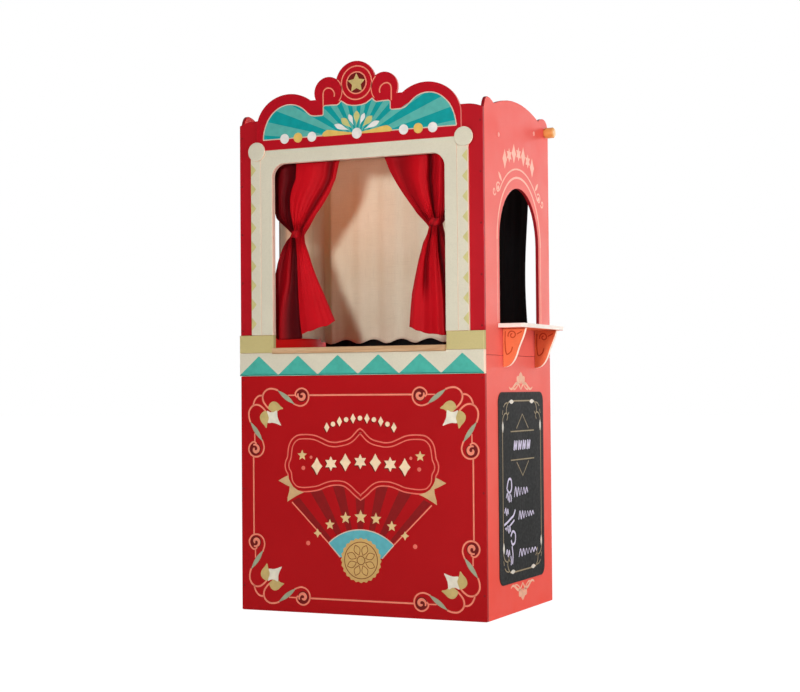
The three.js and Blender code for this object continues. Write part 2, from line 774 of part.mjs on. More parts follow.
// Like loft, but each end is closed by a strip between the ring's two long sides
function pairedLoft(rings) {
  const sideCount = rings[0].length;
  const faces = [];
  for (let r = 0; r + 1 < rings.length; r += 1) {
    for (let k = 0; k < sideCount; k += 1) {
      const a = r * sideCount + k;
      const b = r * sideCount + ((k + 1) % sideCount);
      faces.push(a, b, b + sideCount, a, b + sideCount, a + sideCount);
    }
  }
  const end = (rings.length - 1) * sideCount;
  for (let k = 0; k < sideCount / 2 - 1; k += 1) {
    const [a, b, c, d] = [k, k + 1, sideCount - 2 - k, sideCount - 1 - k];
    faces.push(a, c, b, a, d, c);
    faces.push(end + a, end + b, end + c, end + a, end + c, end + d);
  }
  return closedGeometry(rings.flat(), faces);
}

function tieGeometry(drape, sign) {
  const far = openingHalf - drape.waistInset + seatGap;
  const near = far - drape.waistWidth - 2 * seatGap;
  const half = curtainHalfDepth + seatGap;
  const [left, right] = sign > 0 ? [near, far] : [-far, -near];
  const band = roundedRectangle(left - tieThick, curtainRodY - half - tieThick, right + tieThick,
    curtainRodY + half + tieThick, tieCorner);
  const hole = new THREE.Path();
  hole.moveTo(left, curtainRodY - half).lineTo(right, curtainRodY - half);
  hole.lineTo(right, curtainRodY + half).lineTo(left, curtainRodY + half);
  band.holes.push(hole);
  return slab(band, tieHeight, cornerSteps);
}

function makeCurtains() {
  for (const { name, sign } of sides) {
    const drape = sign > 0 ? rightDrape : leftDrape;
    addMesh(`${name}_curtain`, curtainGeometry(drape, sign), redCloth);
    const bottom = openingTop - drape.waistDrop - tieHeight / 2;
    addPlan(`${name}_tie_band`, tieGeometry(drape, sign), redCloth, bottom);
  }
}

makeLowerFront();
makeUpperFront();
makeProscenium();
makeCrest();
makeStageBoard();
makeSides();
makeShelf();
makeChalkboard();
makeTieRails();
makeRearRod();
makeCurtainRod();
makeBentRail();
makeCurtains();
makeBackdrop();
makeBlackout();

export default stand;
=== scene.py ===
"""Puppet theater stand: paints, prints and cloths over the CAD frame."""
import json
import math

import bmesh
import bpy
from mathutils import Matrix, Vector


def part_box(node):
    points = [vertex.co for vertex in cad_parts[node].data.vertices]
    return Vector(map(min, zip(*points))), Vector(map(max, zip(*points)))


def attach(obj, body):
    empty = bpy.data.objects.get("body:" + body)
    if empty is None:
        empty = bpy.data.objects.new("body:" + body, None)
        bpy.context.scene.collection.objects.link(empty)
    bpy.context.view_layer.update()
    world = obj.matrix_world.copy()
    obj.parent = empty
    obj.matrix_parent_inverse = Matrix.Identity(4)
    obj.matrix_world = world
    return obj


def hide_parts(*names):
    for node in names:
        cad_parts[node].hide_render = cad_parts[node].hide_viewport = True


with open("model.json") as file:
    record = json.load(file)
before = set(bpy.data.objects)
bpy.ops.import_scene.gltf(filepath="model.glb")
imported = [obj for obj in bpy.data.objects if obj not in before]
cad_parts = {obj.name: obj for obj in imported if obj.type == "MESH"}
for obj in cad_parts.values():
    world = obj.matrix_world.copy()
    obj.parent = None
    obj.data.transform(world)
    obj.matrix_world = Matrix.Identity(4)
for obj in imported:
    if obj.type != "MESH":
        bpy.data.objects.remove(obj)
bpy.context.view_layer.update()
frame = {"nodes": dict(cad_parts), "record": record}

MM = 0.001
SIDES = (-1, 1)  # left, right
NODES = frame["nodes"]
SLOT_OF = {s["node"]: s["material_slot"] for s in frame["record"]["subparts"]}


# ------------------------ curves in the plane
def through(points, count, closed=False):
    """count points on a smooth curve through the given ones, of any dimension."""
    n = len(points)
    spans = n if closed else n - 1
    found = []
    for k in range(count):
        t = spans * k / (count if closed else count - 1)
        i = min(int(t), spans - 1)
        t -= i
        p = []
        for shift in (-1, 0, 1, 2):
            j = i + shift
            p.append(points[j % n] if closed else points[max(0, min(n - 1, j))])
        found.append(tuple(
            0.5 * (2 * b + (c - a) * t + (2 * a - 5 * b + 4 * c - d) * t * t
                   + (3 * b - a - 3 * c + d) * t ** 3)
            for a, b, c, d in zip(*p)))
    return found


def arc(x, z, r, start, end, count, squeeze=1.0):
    """Points on a circle from one angle to another, in degrees; squeeze scales its height."""
    turns = [math.radians(start + (end - start) * k / (count - 1)) for k in range(count)]
    return [(x + r * math.cos(a), z + r * squeeze * math.sin(a)) for a in turns]


def spiral(x, z, r_start, r_end, start, end, count):
    """Points on a spiral about (x, z)."""
    found = []
    for k in range(count):
        t = k / (count - 1)
        a = math.radians(start + (end - start) * t)
        r = r_start + (r_end - r_start) * t
        found.append((x + r * math.cos(a), z + r * math.sin(a)))
    return found


def circle(x, z, r, count):
    """A closed circle of count points."""
    return arc(x, z, r, 0, 360 - 360 / count, count)


def star(x, z, r, inner=0.45, points=5):
    """A star that stands on two points, with its notches at inner of the radius."""
    found = []
    for k in range(2 * points):
        a = math.radians(90 + 180 * k / points)
        length = r if k % 2 == 0 else r * inner
        found.append((x + length * math.cos(a), z + length * math.sin(a)))
    return found


def lozenge(tall, shoulder):
    """A four-pointed sign about the origin, 16 wide to each side."""
    right_half = [(0, tall), (8, shoulder), (16, 0), (8, -shoulder)]
    return right_half + [(-x, -z) for x, z in right_half]


def petal(x, z, angle, near, far, width, tip):
    """A rounded leaf from near to far along an angle, widest at tip of the way."""
    a = math.radians(angle)
    along, side = (math.cos(a), math.sin(a)), (-math.sin(a), math.cos(a))
    rim, steps = [], 24
    for k in range(steps + 1):
        t = k / steps
        swell = math.sin(math.pi * t ** (0.5 / (1 - tip)))
        rim.append((near + (far - near) * t, width / 2 * swell))
    rim += [(s, -w) for s, w in reversed(rim[1:-1])]
    return [(x + s * along[0] + w * side[0], z + s * along[1] + w * side[1]) for s, w in rim]


def mirrored(points, centre):
    return [(2 * centre - x, z) for x, z in points]


def flipped(points, level):
    return [(x, 2 * level - z) for x, z in points]


def beside(points, centre, side):
    """Points given by their distance from a centre line, laid on one side of it."""
    return [(centre + side * x, z) for x, z in points]


def moved(points, x, z):
    return [(x + dx, z + dz) for dx, dz in points]


def offset(points, distance, closed=True):
    """The same line moved sideways, to the left of its direction."""
    n, found = len(points), []
    for i, (x, z) in enumerate(points):
        before = points[i - 1] if closed or i else points[i]
        after = points[(i + 1) % n] if closed or i < n - 1 else points[i]
        dx, dz = after[0] - before[0], after[1] - before[1]
        size = math.hypot(dx, dz) or 1.0
        found.append((x - dz / size * distance, z + dx / size * distance))
    return found


def reach(x, z, angle, outline):
    """How far a ray from (x, z) runs until it leaves the outline."""
    dx, dz = math.cos(math.radians(angle)), math.sin(math.radians(angle))
    best = 0.0
    for (ax, az), (bx, bz) in zip(outline, outline[1:] + outline[:1]):
        ex, ez = bx - ax, bz - az
        cross = dx * ez - dz * ex
        if abs(cross) < 1e-9:
            continue
        t = ((ax - x) * ez - (az - z) * ex) / cross
        u = ((ax - x) * dz - (az - z) * dx) / cross
        if t > 0 and -1e-6 <= u <= 1 + 1e-6:
            best = max(best, t)
    return best


def ray(x, z, start, end, outline, floor=None):
    """A sector about (x, z), cut off at the outline and, where given, at a floor level."""
    rim, near, steps = [], [], 8
    for k in range(steps + 1):
        a = start + (end - start) * k / steps
        dx, dz = math.cos(math.radians(a)), math.sin(math.radians(a))
        far = reach(x, z, a, outline)
        rim.append((x + far * dx, z + far * dz))
        if floor is not None:
            close = (floor - z) / dz
            near.append((x + close * dx, floor))
    return (near[::-1] or [(x, z)]) + rim


# ------------------------ printed shapes
class Face:
    """A flat face of the CAD frame: where its print lies, in millimetres."""

    def __init__(self, origin, across, up):
        self.origin, self.across, self.up = Vector(origin), Vector(across), Vector(up)
        self.out = self.across.cross(self.up)

    def at(self, x, z, lift):
        return (self.origin + self.across * x + self.up * z + self.out * lift) * MM


def front_of(node):
    """The face of a piece that looks to the front."""
    return Face((0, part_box(node)[0].y / MM, 0), (1, 0, 0), (0, 0, 1))


def side_of(node, side):
    """The outer face of a piece on the left (-1) or right (1) side of the stand."""
    return Face((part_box(node)[side > 0].x / MM, 0, 0), (0, side, 0), (0, 0, 1))


FRONT = front_of("lower_front_panel")
BAND = front_of("counter_fascia")
CREST = front_of("crest_board")
PILASTER = front_of("right_pilaster")
RIGHT = side_of("right_upper_side_panel", 1)
LEFT = side_of("left_upper_side_panel", -1)
SLATE = side_of("chalkboard", 1)

# How far one layer of ink stands on the one below, and how deep all ink is let in
LAYER, SUNK = 0.07, 0.15


def piece_of(name, mesh, material):
    """An object of one material from a finished bmesh."""
    data = bpy.data.meshes.new(name)
    mesh.to_mesh(data)
    mesh.free()
    data.materials.append(material)
    piece = bpy.data.objects.new(name, data)
    bpy.context.scene.collection.objects.link(piece)
    return piece


class Print:
    """Ink of one colour on one face: thin closed shapes, joined in one piece."""

    def __init__(self, name, face, ink_name, layer=1):
        self.name, self.face, self.top, self.mesh = name, face, layer * LAYER, bmesh.new()
        self.ink, self.slot = INK[ink_name]

    def rows_of(self, left, right):
        """Four vertices at each point of a strip between two lines."""
        rows = []
        for (ax, az), (bx, bz) in zip(left, right):
            rows.append([self.mesh.verts.new(self.face.at(x, z, lift)) for x, z, lift in (
                (ax, az, self.top), (bx, bz, self.top), (bx, bz, -SUNK), (ax, az, -SUNK))])
        return rows

    def line(self, points, width, closed=False, taper=None):
        """A stroke along the points; taper gives its share of the width along its length."""
        n = len(points)
        widths = [width * (taper(k / (n - 1)) if taper else 1) for k in range(n)]
        left = offset(points, 1.0, closed)
        sides = [(lx - x, lz - z) for (lx, lz), (x, z) in zip(left, points)]
        outer = [(x + sx * w / 2, z + sz * w / 2)
                 for (x, z), (sx, sz), w in zip(points, sides, widths)]
        inner = [(x - sx * w / 2, z - sz * w / 2)
                 for (x, z), (sx, sz), w in zip(points, sides, widths)]
        rows = self.rows_of(outer, inner)
        pairs = list(zip(rows, rows[1:])) + ([(rows[-1], rows[0])] if closed else [])
        for a, b in pairs:
            for k in range(4):
                self.mesh.faces.new((a[k], a[(k + 1) % 4], b[(k + 1) % 4], b[k]))
        if not closed:
            self.mesh.faces.new(rows[0])
            self.mesh.faces.new(reversed(rows[-1]))
        return self

    def fill(self, outline):
        top = [self.mesh.verts.new(self.face.at(x, z, self.top)) for x, z in outline]
        low = [self.mesh.verts.new(self.face.at(x, z, -SUNK)) for x, z in outline]
        self.mesh.faces.new(top)
        self.mesh.faces.new(reversed(low))
        n = len(outline)
        for k in range(n):
            self.mesh.faces.new((top[k], low[k], low[(k + 1) % n], top[(k + 1) % n]))
        return self

    def lines(self, shapes, width, closed=False, taper=None):
        for shape in shapes:
            self.line(shape, width, closed, taper)
        return self

    def fills(self, shapes):
        for shape in shapes:
            self.fill(shape)
        return self

    def done(self):
        bmesh.ops.recalc_face_normals(self.mesh, faces=self.mesh.faces)
        bmesh.ops.triangulate(self.mesh, faces=[f for f in self.mesh.faces if len(f.verts) > 4])
        piece = piece_of(self.name, self.mesh, self.ink)
        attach(piece, "stand")


# ------------------------ materials
def colour(r, g, b):
    """An sRGB colour, 0 to 255, as linear light."""
    return tuple(c / 255 / 12.92 if c <= 10 else ((c / 255 + 0.055) / 1.055) ** 2.4
                 for c in (r, g, b)) + (1.0,)


def dimmed(shade, share):
    return colour(*[c * share for c in shade])


def add_node(tree, kind, inputs=(), **settings):
    """A node whose inputs are given as values or as sockets to link."""
    made = tree.nodes.new(kind)
    for key, value in settings.items():
        setattr(made, key, value)
    for key, value in dict(inputs).items():
        if isinstance(value, bpy.types.NodeSocket):
            tree.links.new(value, made.inputs[key])
        else:
            made.inputs[key].default_value = value
    return made


class Finish:
    """A node material under construction."""

    def __init__(self, name, **constants):
        self.material = bpy.data.materials.new(name)
        self.material.use_nodes = True
        self.tree = self.material.node_tree
        self.shader = self.tree.nodes["Principled BSDF"]
        self.place = self.node("ShaderNodeTexCoord").outputs["Object"]
        for key, value in constants.items():
            self.shader.inputs[key.replace("_", " ")].default_value = value

    def node(self, kind, inputs=(), **settings):
        return add_node(self.tree, kind, inputs, **settings)

    def link(self, value, name):
        self.tree.links.new(value, self.shader.inputs[name])

    def coat(self, factor, shade):
        """Lays another colour over the one that the shader has, where factor says."""
        under = self.shader.inputs["Base Color"].links[0].from_socket
        self.link(self.mix(factor, under, shade), "Base Color")

    def part(self, vector, axis):
        return self.node("ShaderNodeSeparateXYZ", {0: vector}).outputs[axis]

    def facing(self, axis):
        """How much the surface looks along an axis, from -1 to 1."""
        return self.part(self.node("ShaderNodeNewGeometry").outputs["Normal"], axis)

    def noise(self, scale, detail, rough=0.55, stretch=(1, 1, 1), vector=None):
        placed = self.node("ShaderNodeMapping", {"Vector": vector or self.place, "Scale": stretch})
        return self.node("ShaderNodeTexNoise", {
            "Vector": placed.outputs["Vector"], "Scale": scale,
            "Detail": detail, "Roughness": rough}).outputs["Fac"]

    def bands(self, scale, direction, vector, distort):
        return self.node("ShaderNodeTexWave", {
            "Vector": vector, "Scale": scale, "Distortion": distort,
            "Detail": 2.0, "Detail Scale": 2.0},
            wave_type="BANDS", bands_direction=direction, wave_profile="SIN").outputs["Fac"]

    def span(self, value, low, high, to_low=0.0, to_high=1.0):
        return self.node("ShaderNodeMapRange", {
            "Value": value, "From Min": low, "From Max": high,
            "To Min": to_low, "To Max": to_high}).outputs["Result"]

    def math(self, how, a, b=0.0):
        return self.node("ShaderNodeMath", {0: a, 1: b}, operation=how).outputs["Value"]

    def mix(self, factor, a, b):
        return self.node("ShaderNodeMix", {0: factor, 6: a, 7: b}, data_type="RGBA").outputs[2]

    def bump(self, height, strength, distance, under=None):
        inputs = {"Height": height, "Strength": strength, "Distance": distance}
        if under is not None:
            inputs["Normal"] = under
        return self.node("ShaderNodeBump", inputs).outputs["Normal"]


def paint(name, base, shade, rough, gloss=0.1):
    """Sprayed paint on board: soft mottling, fine orange peel and uneven gloss."""
    f = Finish(name, Specular_IOR_Level=gloss)
    soft = f.span(f.noise(5.0, 4.0), 0.35, 0.68)
    fine = f.span(f.noise(260.0, 2.0), 0.4, 0.75, 0.0, 0.5)
    body = f.mix(soft, colour(*base), colour(*shade))
    f.link(f.mix(fine, body, dimmed(base, 0.93)), "Base Color")
    f.link(f.span(f.noise(14.0, 5.0), 0.3, 0.7, rough - 0.06, rough + 0.1), "Roughness")
    peel = f.bump(f.noise(900.0, 1.0), 0.05, 0.0002)
    f.link(f.bump(f.noise(45.0, 2.0), 0.03, 0.0006, peel), "Normal")
    return f


def cut_edge(f):
    """1 where a front board shows the edge of its sheet."""
    return f.math("LESS_THAN", f.math("ABSOLUTE", f.facing("Y")), 0.5)


def edged(f, shade):
    """Gives a front board another colour on its cut edges."""
    f.coat(cut_edge(f), colour(*shade))
    return f.material


def side_paint():
    """The side boards: coral on the outer faces, with painted shade towards their bottom and
    top, and deep red on the edges and inside.
    """
    f = paint("side_coral", (236, 112, 101), (231, 104, 93), 0.4, 0.04)
    across, height = f.part(f.place, "X"), f.part(f.place, "Z")
    # Painted shade: the outer faces darken towards the bottom and towards the top.
    f.coat(f.span(height, 0.1, 0.8, 1.0, 0.0), colour(236, 84, 70))
    f.coat(f.span(height, 0.95, 1.25), colour(232, 88, 78))
    outward = f.math("MULTIPLY", f.facing("X"), f.math("SIGN", across))
    hidden = f.mix(f.span(outward, -0.8, -0.55), colour(230, 26, 26), colour(142, 22, 30))
    f.coat(f.span(outward, 0.8, 0.55), hidden)
    return f.material


def shelf_paint():
    """The shelf: white on top and round its edge, orange underneath."""
    f = paint("shelf_white", (240, 225, 214), (234, 218, 206), 0.42)
    f.coat(f.math("LESS_THAN", f.facing("Z"), -0.6), colour(236, 112, 66))
    return f.material


def opening_red():
    """The upper front board: red, with cream on the cut edge of the stage opening."""
    f = paint("front_red_upper", (177, 20, 32), (169, 16, 28), 0.4)
    beyond_opening = 0.2485
    across = f.math("ABSOLUTE", f.part(f.place, "X"))
    inside = f.math("LESS_THAN", across, beyond_opening)
    f.coat(f.math("MULTIPLY", cut_edge(f), inside), colour(232, 196, 176))
    return f.material


def wood(name, along, base=(200, 163, 124), dark=(174, 130, 88)):
    """Clear-lacquered light wood with its grain along one axis."""
    f = Finish(name, Specular_IOR_Level=0.4, Coat_Weight=0.15, Coat_Roughness=0.3)
    grain = [26.0, 26.0, 26.0]
    grain["XYZ".index(along)] = 1.4
    figure = f.noise(4.0, 5.0, 0.6, grain)
    pores = f.noise(16.0, 6.0, 0.7, [g * 2 for g in grain])
    body = f.mix(f.span(figure, 0.34, 0.66), colour(*base), colour(*dark))
    f.link(f.mix(f.span(pores, 0.56, 0.72, 0.0, 0.55), body, dimmed(dark, 0.8)), "Base Color")
    f.link(f.span(figure, 0.3, 0.7, 0.38, 0.52), "Roughness")
    f.link(f.bump(pores, 0.12, 0.0003), "Normal")
    return f.material


def steel():
    """Drawn steel rod, brushed along its length."""
    f = Finish("drawn_steel", Metallic=1.0, Anisotropic=0.4)
    streak = f.noise(40.0, 3.0, 0.6, (0.3, 6, 6))
    f.link(f.mix(streak, colour(205, 206, 210), colour(170, 172, 178)), "Base Color")
    f.link(f.span(streak, 0.3, 0.7, 0.24, 0.38), "Roughness")
    return f.material


def slate():
    """Chalkboard face: dark grey with wiped chalk dust and a fine tooth."""
    f = Finish("slate_face", Specular_IOR_Level=0.12)
    dust = f.span(f.noise(9.0, 6.0, 0.65, (1, 1, 0.35)), 0.45, 0.75, 0.0, 0.5)
    f.link(f.mix(dust, colour(22, 22, 21), colour(46, 45, 46)), "Base Color")
    f.link(f.span(f.noise(120.0, 3.0), 0.3, 0.7, 0.6, 0.8), "Roughness")
    f.link(f.bump(f.noise(1400.0, 2.0), 0.12, 0.0002), "Normal")
    return f.material


def woven(name, base, shade, threads, rough, sheen, slub, tint=None, deep=None, gloss=0.2):
    """Plain weave that follows the sheet's own map, which is laid out in metres.

    threads is the weave's scale, slub the share of thick threads, tint the colour of the
    sheen, and deep the colour of the painted shade that the sheet's fold map lays on it.
    """
    f = Finish(name, Specular_IOR_Level=gloss, Sheen_Weight=sheen, Sheen_Roughness=0.45)
    f.shader.inputs["Sheen Tint"].default_value = colour(*(tint or base))
    cloth = f.node("ShaderNodeUVMap", uv_map="cloth").outputs["UV"]
    warp = f.bands(threads, "X", cloth, 1.2)
    weft = f.bands(threads, "Y", cloth, 1.2)
    weave = f.math("MULTIPLY", warp, weft)
    slubs = f.math("MAXIMUM", f.noise(6.0, 3.0, 0.6, (90, 3, 1), cloth),
                   f.noise(6.0, 3.0, 0.6, (3, 90, 1), cloth))
    soft = f.span(f.noise(9.0, 4.0, 0.6), 0.35, 0.7)
    body = f.mix(soft, colour(*base), colour(*shade))
    # Painted shade: the fold map mixes the cloth towards deep.
    if deep:
        fold = f.part(f.node("ShaderNodeUVMap", uv_map="fold").outputs["UV"], "X")
        body = f.mix(fold, body, colour(*deep))
    body = f.mix(f.span(slubs, 0.52, 0.74, 0.0, slub), body, dimmed(shade, 0.82))
    f.link(f.mix(f.span(weave, 0.0, 0.5, 0.25, 0.0), body, dimmed(shade, 0.7)), "Base Color")
    f.link(f.span(slubs, 0.4, 0.7, rough - 0.06, min(1.0, rough + 0.08)), "Roughness")
    f.link(f.bump(slubs, 0.1, 0.0006, f.bump(weave, 0.3, 0.0003)), "Normal")
    return f.material


def ink(name, base):
    """Screen-printed ink: nearly flat, with a faint mottle and a fine tooth."""
    f = Finish(name, Specular_IOR_Level=0.15)
    mottle = f.span(f.noise(60.0, 4.0), 0.35, 0.7)
    f.link(f.mix(mottle, colour(*base), dimmed(base, 0.93)), "Base Color")
    f.link(f.span(f.noise(30.0, 4.0), 0.3, 0.7, 0.40, 0.55), "Roughness")
    f.link(f.bump(f.noise(1100.0, 1.0), 0.04, 0.0002), "Normal")
    return f.material


RED_LOWER = paint("front_red", (171, 14, 20), (164, 11, 17), 0.4).material
# The light edge colours of the crest and cream boards are partly raw board, partly painted
# highlight.
RED_CREST = edged(paint("crest_red", (178, 14, 30), (170, 10, 26), 0.4), (240, 140, 130))
CREAM = edged(paint("cream", (214, 206, 184), (206, 199, 178), 0.45), (250, 214, 190))
GOLD = paint("block_gold", (196, 181, 126), (189, 174, 119), 0.5).material
ORANGE = edged(paint("bracket_orange", (228, 118, 76), (221, 108, 67), 0.42), (255, 228, 208))
CAP_CORAL = paint("cap_coral", (250, 168, 156), (246, 158, 146), 0.4).material
WOOD_X = wood("wood_along_x", "X")
WOOD_Y = wood("wood_along_y", "Y")
WOOD_Z = wood("wood_along_z", "Z")
KNOB = wood("knob_wood", "X", (232, 170, 96), (218, 148, 74))

BY_SLOT = {
    "red_paint": RED_LOWER, "coral_paint": side_paint(), "cream_paint": CREAM,
    "gold_paint": GOLD, "orange_paint": ORANGE, "bare_wood": WOOD_Z,
    "chalkboard": slate(), "steel": steel(),
}
BY_NODE = {
    "upper_front_panel": opening_red(), "crest_board": RED_CREST, "side_shelf": shelf_paint(),
    **dict.fromkeys(("stage_board", "counter_rail", "rear_stretcher", "front_tie_rail",
                     "rear_tie_rail", "rear_rod"), WOOD_X),
    **dict.fromkeys(("left_splice_batten", "right_splice_batten"), WOOD_Y),
    **dict.fromkeys(("left_rod_knob", "right_rod_knob"), KNOB),
    **dict.fromkeys(("left_front_rail_cap", "right_front_rail_cap", "left_rear_rail_cap",
                     "right_rear_rail_cap"), CAP_CORAL),
}
CLOTH_NODES = {"left_curtain", "right_curtain", "left_tie_band", "right_tie_band",
               "backdrop_cloth", "blackout_cloth"}

for node, part in NODES.items():
    if node in CLOTH_NODES:
        continue
    material = BY_NODE.get(node, BY_SLOT[SLOT_OF[node]])
    if not part.material_slots:
        part.data.materials.append(material)
    for held in part.material_slots:
        held.material = material
    for polygon in part.data.polygons:
        polygon.use_smooth = True
    part.data.set_sharp_from_angle(angle=math.radians(32))
    edges = part.modifiers.new("eased_edges", "BEVEL")
    edges.width = 0.0007
    edges.segments = 2
    edges.limit_method = "ANGLE"
    edges.angle_limit = math.radians(50)
    edges.harden_normals = True


# ------------------------ cloth
# deep is painted shade: a dark red laid into the curtains' folds and the ties' creases.
RED_CLOTH = woven("red_curtain_cloth", (203, 9, 25), (192, 7, 21), 420, 0.6, 0.04, 0.12,
                  tint=(240, 60, 60), deep=(50, 2, 7), gloss=0.1)
# deep is painted shade: a warm brown on the backdrop's seam and on its part by the side panel.
BEIGE_CLOTH = woven("calico", (236, 235, 210), (229, 226, 199), 300, 0.85, 0.1, 0.3,
                    deep=(120, 66, 40))
BLACK_CLOTH = woven("blackout_weave", (9, 9, 11), (6, 6, 8), 380, 0.9, 0.04, 0.3)


def sheet_mesh(name, cols, rows, place, size, material, thick, shade=lambda u, v: 0.0):
    """A grid of points as one thin sheet; size is its cut in millimetres, for the weave.

    u runs across the sheet and v down it. shade gives the painted shade of a place, from 0
    to 1, laid on the cloth through the fold map.
    """
    mesh = bmesh.new()
    laid = mesh.loops.layers.uv.new("cloth")
    fold_shade_map = mesh.loops.layers.uv.new("fold")
    grid = [[mesh.verts.new(Vector(place(c / cols, r / rows)) * MM) for c in range(cols + 1)]
            for r in range(rows + 1)]
    for r in range(rows):
        for c in range(cols):
            corners = ((c, r), (c + 1, r), (c + 1, r + 1), (c, r + 1))
            made = mesh.faces.new([grid[j][i] for i, j in corners])
            made.smooth = True
            for loop, (i, j) in zip(made.loops, corners):
                loop[laid].uv = (i / cols * size[0] * MM, j / rows * size[1] * MM)
                loop[fold_shade_map].uv = (shade(i / cols, j / rows), 0.0)
    piece = piece_of(name, mesh, material)
    shell = piece.modifiers.new("cloth_thickness", "SOLIDIFY")
    shell.thickness = thick * MM
    shell.offset = 0.0
    return piece


def step(t):
    """A smooth rise from 0 to 1."""
    t = max(0.0, min(1.0, t))
    return t * t * (3 - 2 * t)


def between(table, t):
    """A smooth value at t from a table of (t, value)."""
    for (ta, a), (tb, b) in zip(table, table[1:]):
        if t <= tb:
            return a + (b - a) * step((t - ta) / (tb - ta))
    return table[-1][1]


ROD_Y, ROD_Z, POCKET_R = 30.5, 1208.0, 8.5
# The photo's eye, seen from the stage curtains: across and in front, in metres
EYE_ACROSS, EYE_AWAY = 1.913, 3.93


def level_of(line, z):
    """The distance from the middle of a line given as (distance, height), at one height."""
    for (xa, za), (xb, zb) in zip(line, line[1:]):
        if z >= zb:
            return xa + (xb - xa) * max(0.0, min(1.0, (za - z) / (za - zb)))
    return line[-1][0]


def curtain(side, inner, outer, above, below, hem, waist_z, size):
    """A stage curtain tied back at its waist; side is -1 on the left and 1 on the right.

    above and below give, at one height, the knots (share of the sheet, distance from the
    middle, depth, painted shade) from the inner to the outer edge. hem is a table of (share, lift).
    """
    name = "left_curtain" if side < 0 else "right_curtain"
    pocket, top, foot = 0.09, 1199.0, 716.0
    pleats = 2 * math.pi * 16
    gather_reach, wrinkle_reach, wrinkle_drift = 26, 62, 90

    def knots(z):
        blend = step((z - waist_z + 16) / 34)
        near, far = level_of(inner, z), level_of(outer, z)
        return [tuple(a + (b - a) * blend for a, b in zip(low, high))
                for low, high in zip(below(z, near, far), above(z, near, far))]

    def found(s, z):
        """Distance from the middle, depth and painted shade at a share s of the sheet."""
        table = knots(z)
        for (sa, *a), (sb, *b) in zip(table, table[1:]):
            if s <= sb:
                t = (s - sa) / (sb - sa)
                e = step(t)
                return a[0] + (b[0] - a[0]) * t, a[1] + (b[1] - a[1]) * e, a[2] + (b[2] - a[2]) * e
        return table[-1][1:]

    def place(u, v):
        if v < pocket:
            t = v / pocket
            angle = math.radians(-60 + 240 * t)
            x, deep, _ = found(u, top)
            return (side * x, ROD_Y + POCKET_R * math.cos(angle) + 0.06 * deep,
                    ROD_Z + POCKET_R * math.sin(angle))
        t = (v - pocket) / (1 - pocket)
        row = top + (foot - top) * t
        drop = max(0.0, (waist_z - row) / (waist_z - foot)) ** 2
        x, deep, _ = found(u, row)
        gather = math.exp(-((row - waist_z) / gather_reach) ** 2)
        fine = math.sin(pleats * u + 0.5)
        wrinkle = math.sin(pleats * u + 0.5 + (row - waist_z) / wrinkle_drift)
        wrinkle *= math.exp(-abs(row - waist_z) / wrinkle_reach)
        bunched = 0.42 * (deep - 7) + 3.4 * fine
        deep = deep * (1 - gather) + gather * bunched + 1.7 * wrinkle
        deep *= step(t / 0.06)
        y = ROD_Y - POCKET_R * (1 - step(t / 0.05)) + deep
        # Depth moves a place along its line of sight, so that the photo's outline stays
        x = side * x - deep * (EYE_ACROSS - side * x * MM) / EYE_AWAY
        return x, y, row + between(hem, u) * drop

    # Painted shade of the folds, from the last column of the knots.
    def shade(u, v):
        return found(u, top + (foot - top) * max(0.0, (v - pocket) / (1 - pocket)))[2]

    piece = sheet_mesh(name + "_cloth", 200, 130, place, size, RED_CLOTH, 0.7, shade)
    body = name + "_set"
    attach(piece, body)
    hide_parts(name)


LEFT_INNER = [(59, 1199), (71, 1175), (81, 1134), (97, 1101), (118, 1069), (140, 1043),
              (158, 1014), (175, 990), (173, 969), (163, 942), (150, 899), (134, 855),
              (117, 812), (100, 762), (85, 716)]
LEFT_OUTER = [(276, 1199), (273, 1120), (266, 1064), (258, 1040), (245, 1027), (228, 1012),
              (213, 997), (217, 988), (228, 978), (239, 962), (248, 943), (256, 920),
              (263, 890), (268, 840), (268, 716)]
LEFT_CREASE = [(88, 1199), (92, 1176), (99, 1139), (112, 1114), (140, 1077), (158, 1050),
               (174, 1026), (187, 1003), (190, 990)]
LEFT_EDGE = [(198, 1199), (199, 1168), (201, 1141), (213, 1112), (219, 1089), (218, 1059),
             (213, 1032), (206, 1005), (204, 990), (201, 971), (198, 933), (195, 838),
             (191, 762), (186, 716)]
LEFT_STRIPE = [(216, 1199), (216, 985), (219, 955), (223, 915), (228, 868), (238, 832),
               (245, 800), (249, 763), (250, 716)]


# In the knot tables below, the last number is painted shade, darkest in the deep folds.
def left_above(z, near, far):
    crease, edge = level_of(LEFT_CREASE, z), level_of(LEFT_EDGE, z)
    panel, rest = edge - crease, far - edge
    return [(0.0, near, 2, 0.25), (0.07, near + 0.45 * (crease - near), -3, 0.05),
            (0.15, crease, 7, 0.75), (0.22, crease + 0.2 * panel, -4, 0.15),
            (0.36, crease + 0.58 * panel, -9, 0.0), (0.49, edge - 1, -6, 0.05),
            (0.535, edge - 3.5, 5, 0.85), (0.59, edge + 2.5, 19, 1.0),
            (0.70, edge + 0.3 * rest, 23, 0.92), (0.80, edge + 0.55 * rest, 19, 0.8),
            (0.90, edge + 0.8 * rest, 23, 1.0), (1.0, far, 19, 0.8)]


def left_below(z, near, far):
    edge, stripe = level_of(LEFT_EDGE, z), level_of(LEFT_STRIPE, z)
    stripe = min(stripe, far - 2)
    return [(0.0, near, 1, 0.3), (0.07, near + 0.12 * (edge - near), -3, 0.0),
            (0.15, near + 0.3 * (edge - near), -6, 0.0),
            (0.22, near + 0.5 * (edge - near), -8, 0.0),
            (0.36, near + 0.78 * (edge - near), -9, 0.1), (0.49, edge - 1, -5, 0.1),
            (0.535, edge - 3, 5, 0.85), (0.59, edge + 3, 16, 1.0),
            (0.68, (edge + stripe) / 2, 18, 0.95), (0.79, stripe, 9, 0.4),
            (0.88, (stripe + far) / 2, 15, 0.75), (1.0, far, 12, 0.6)]


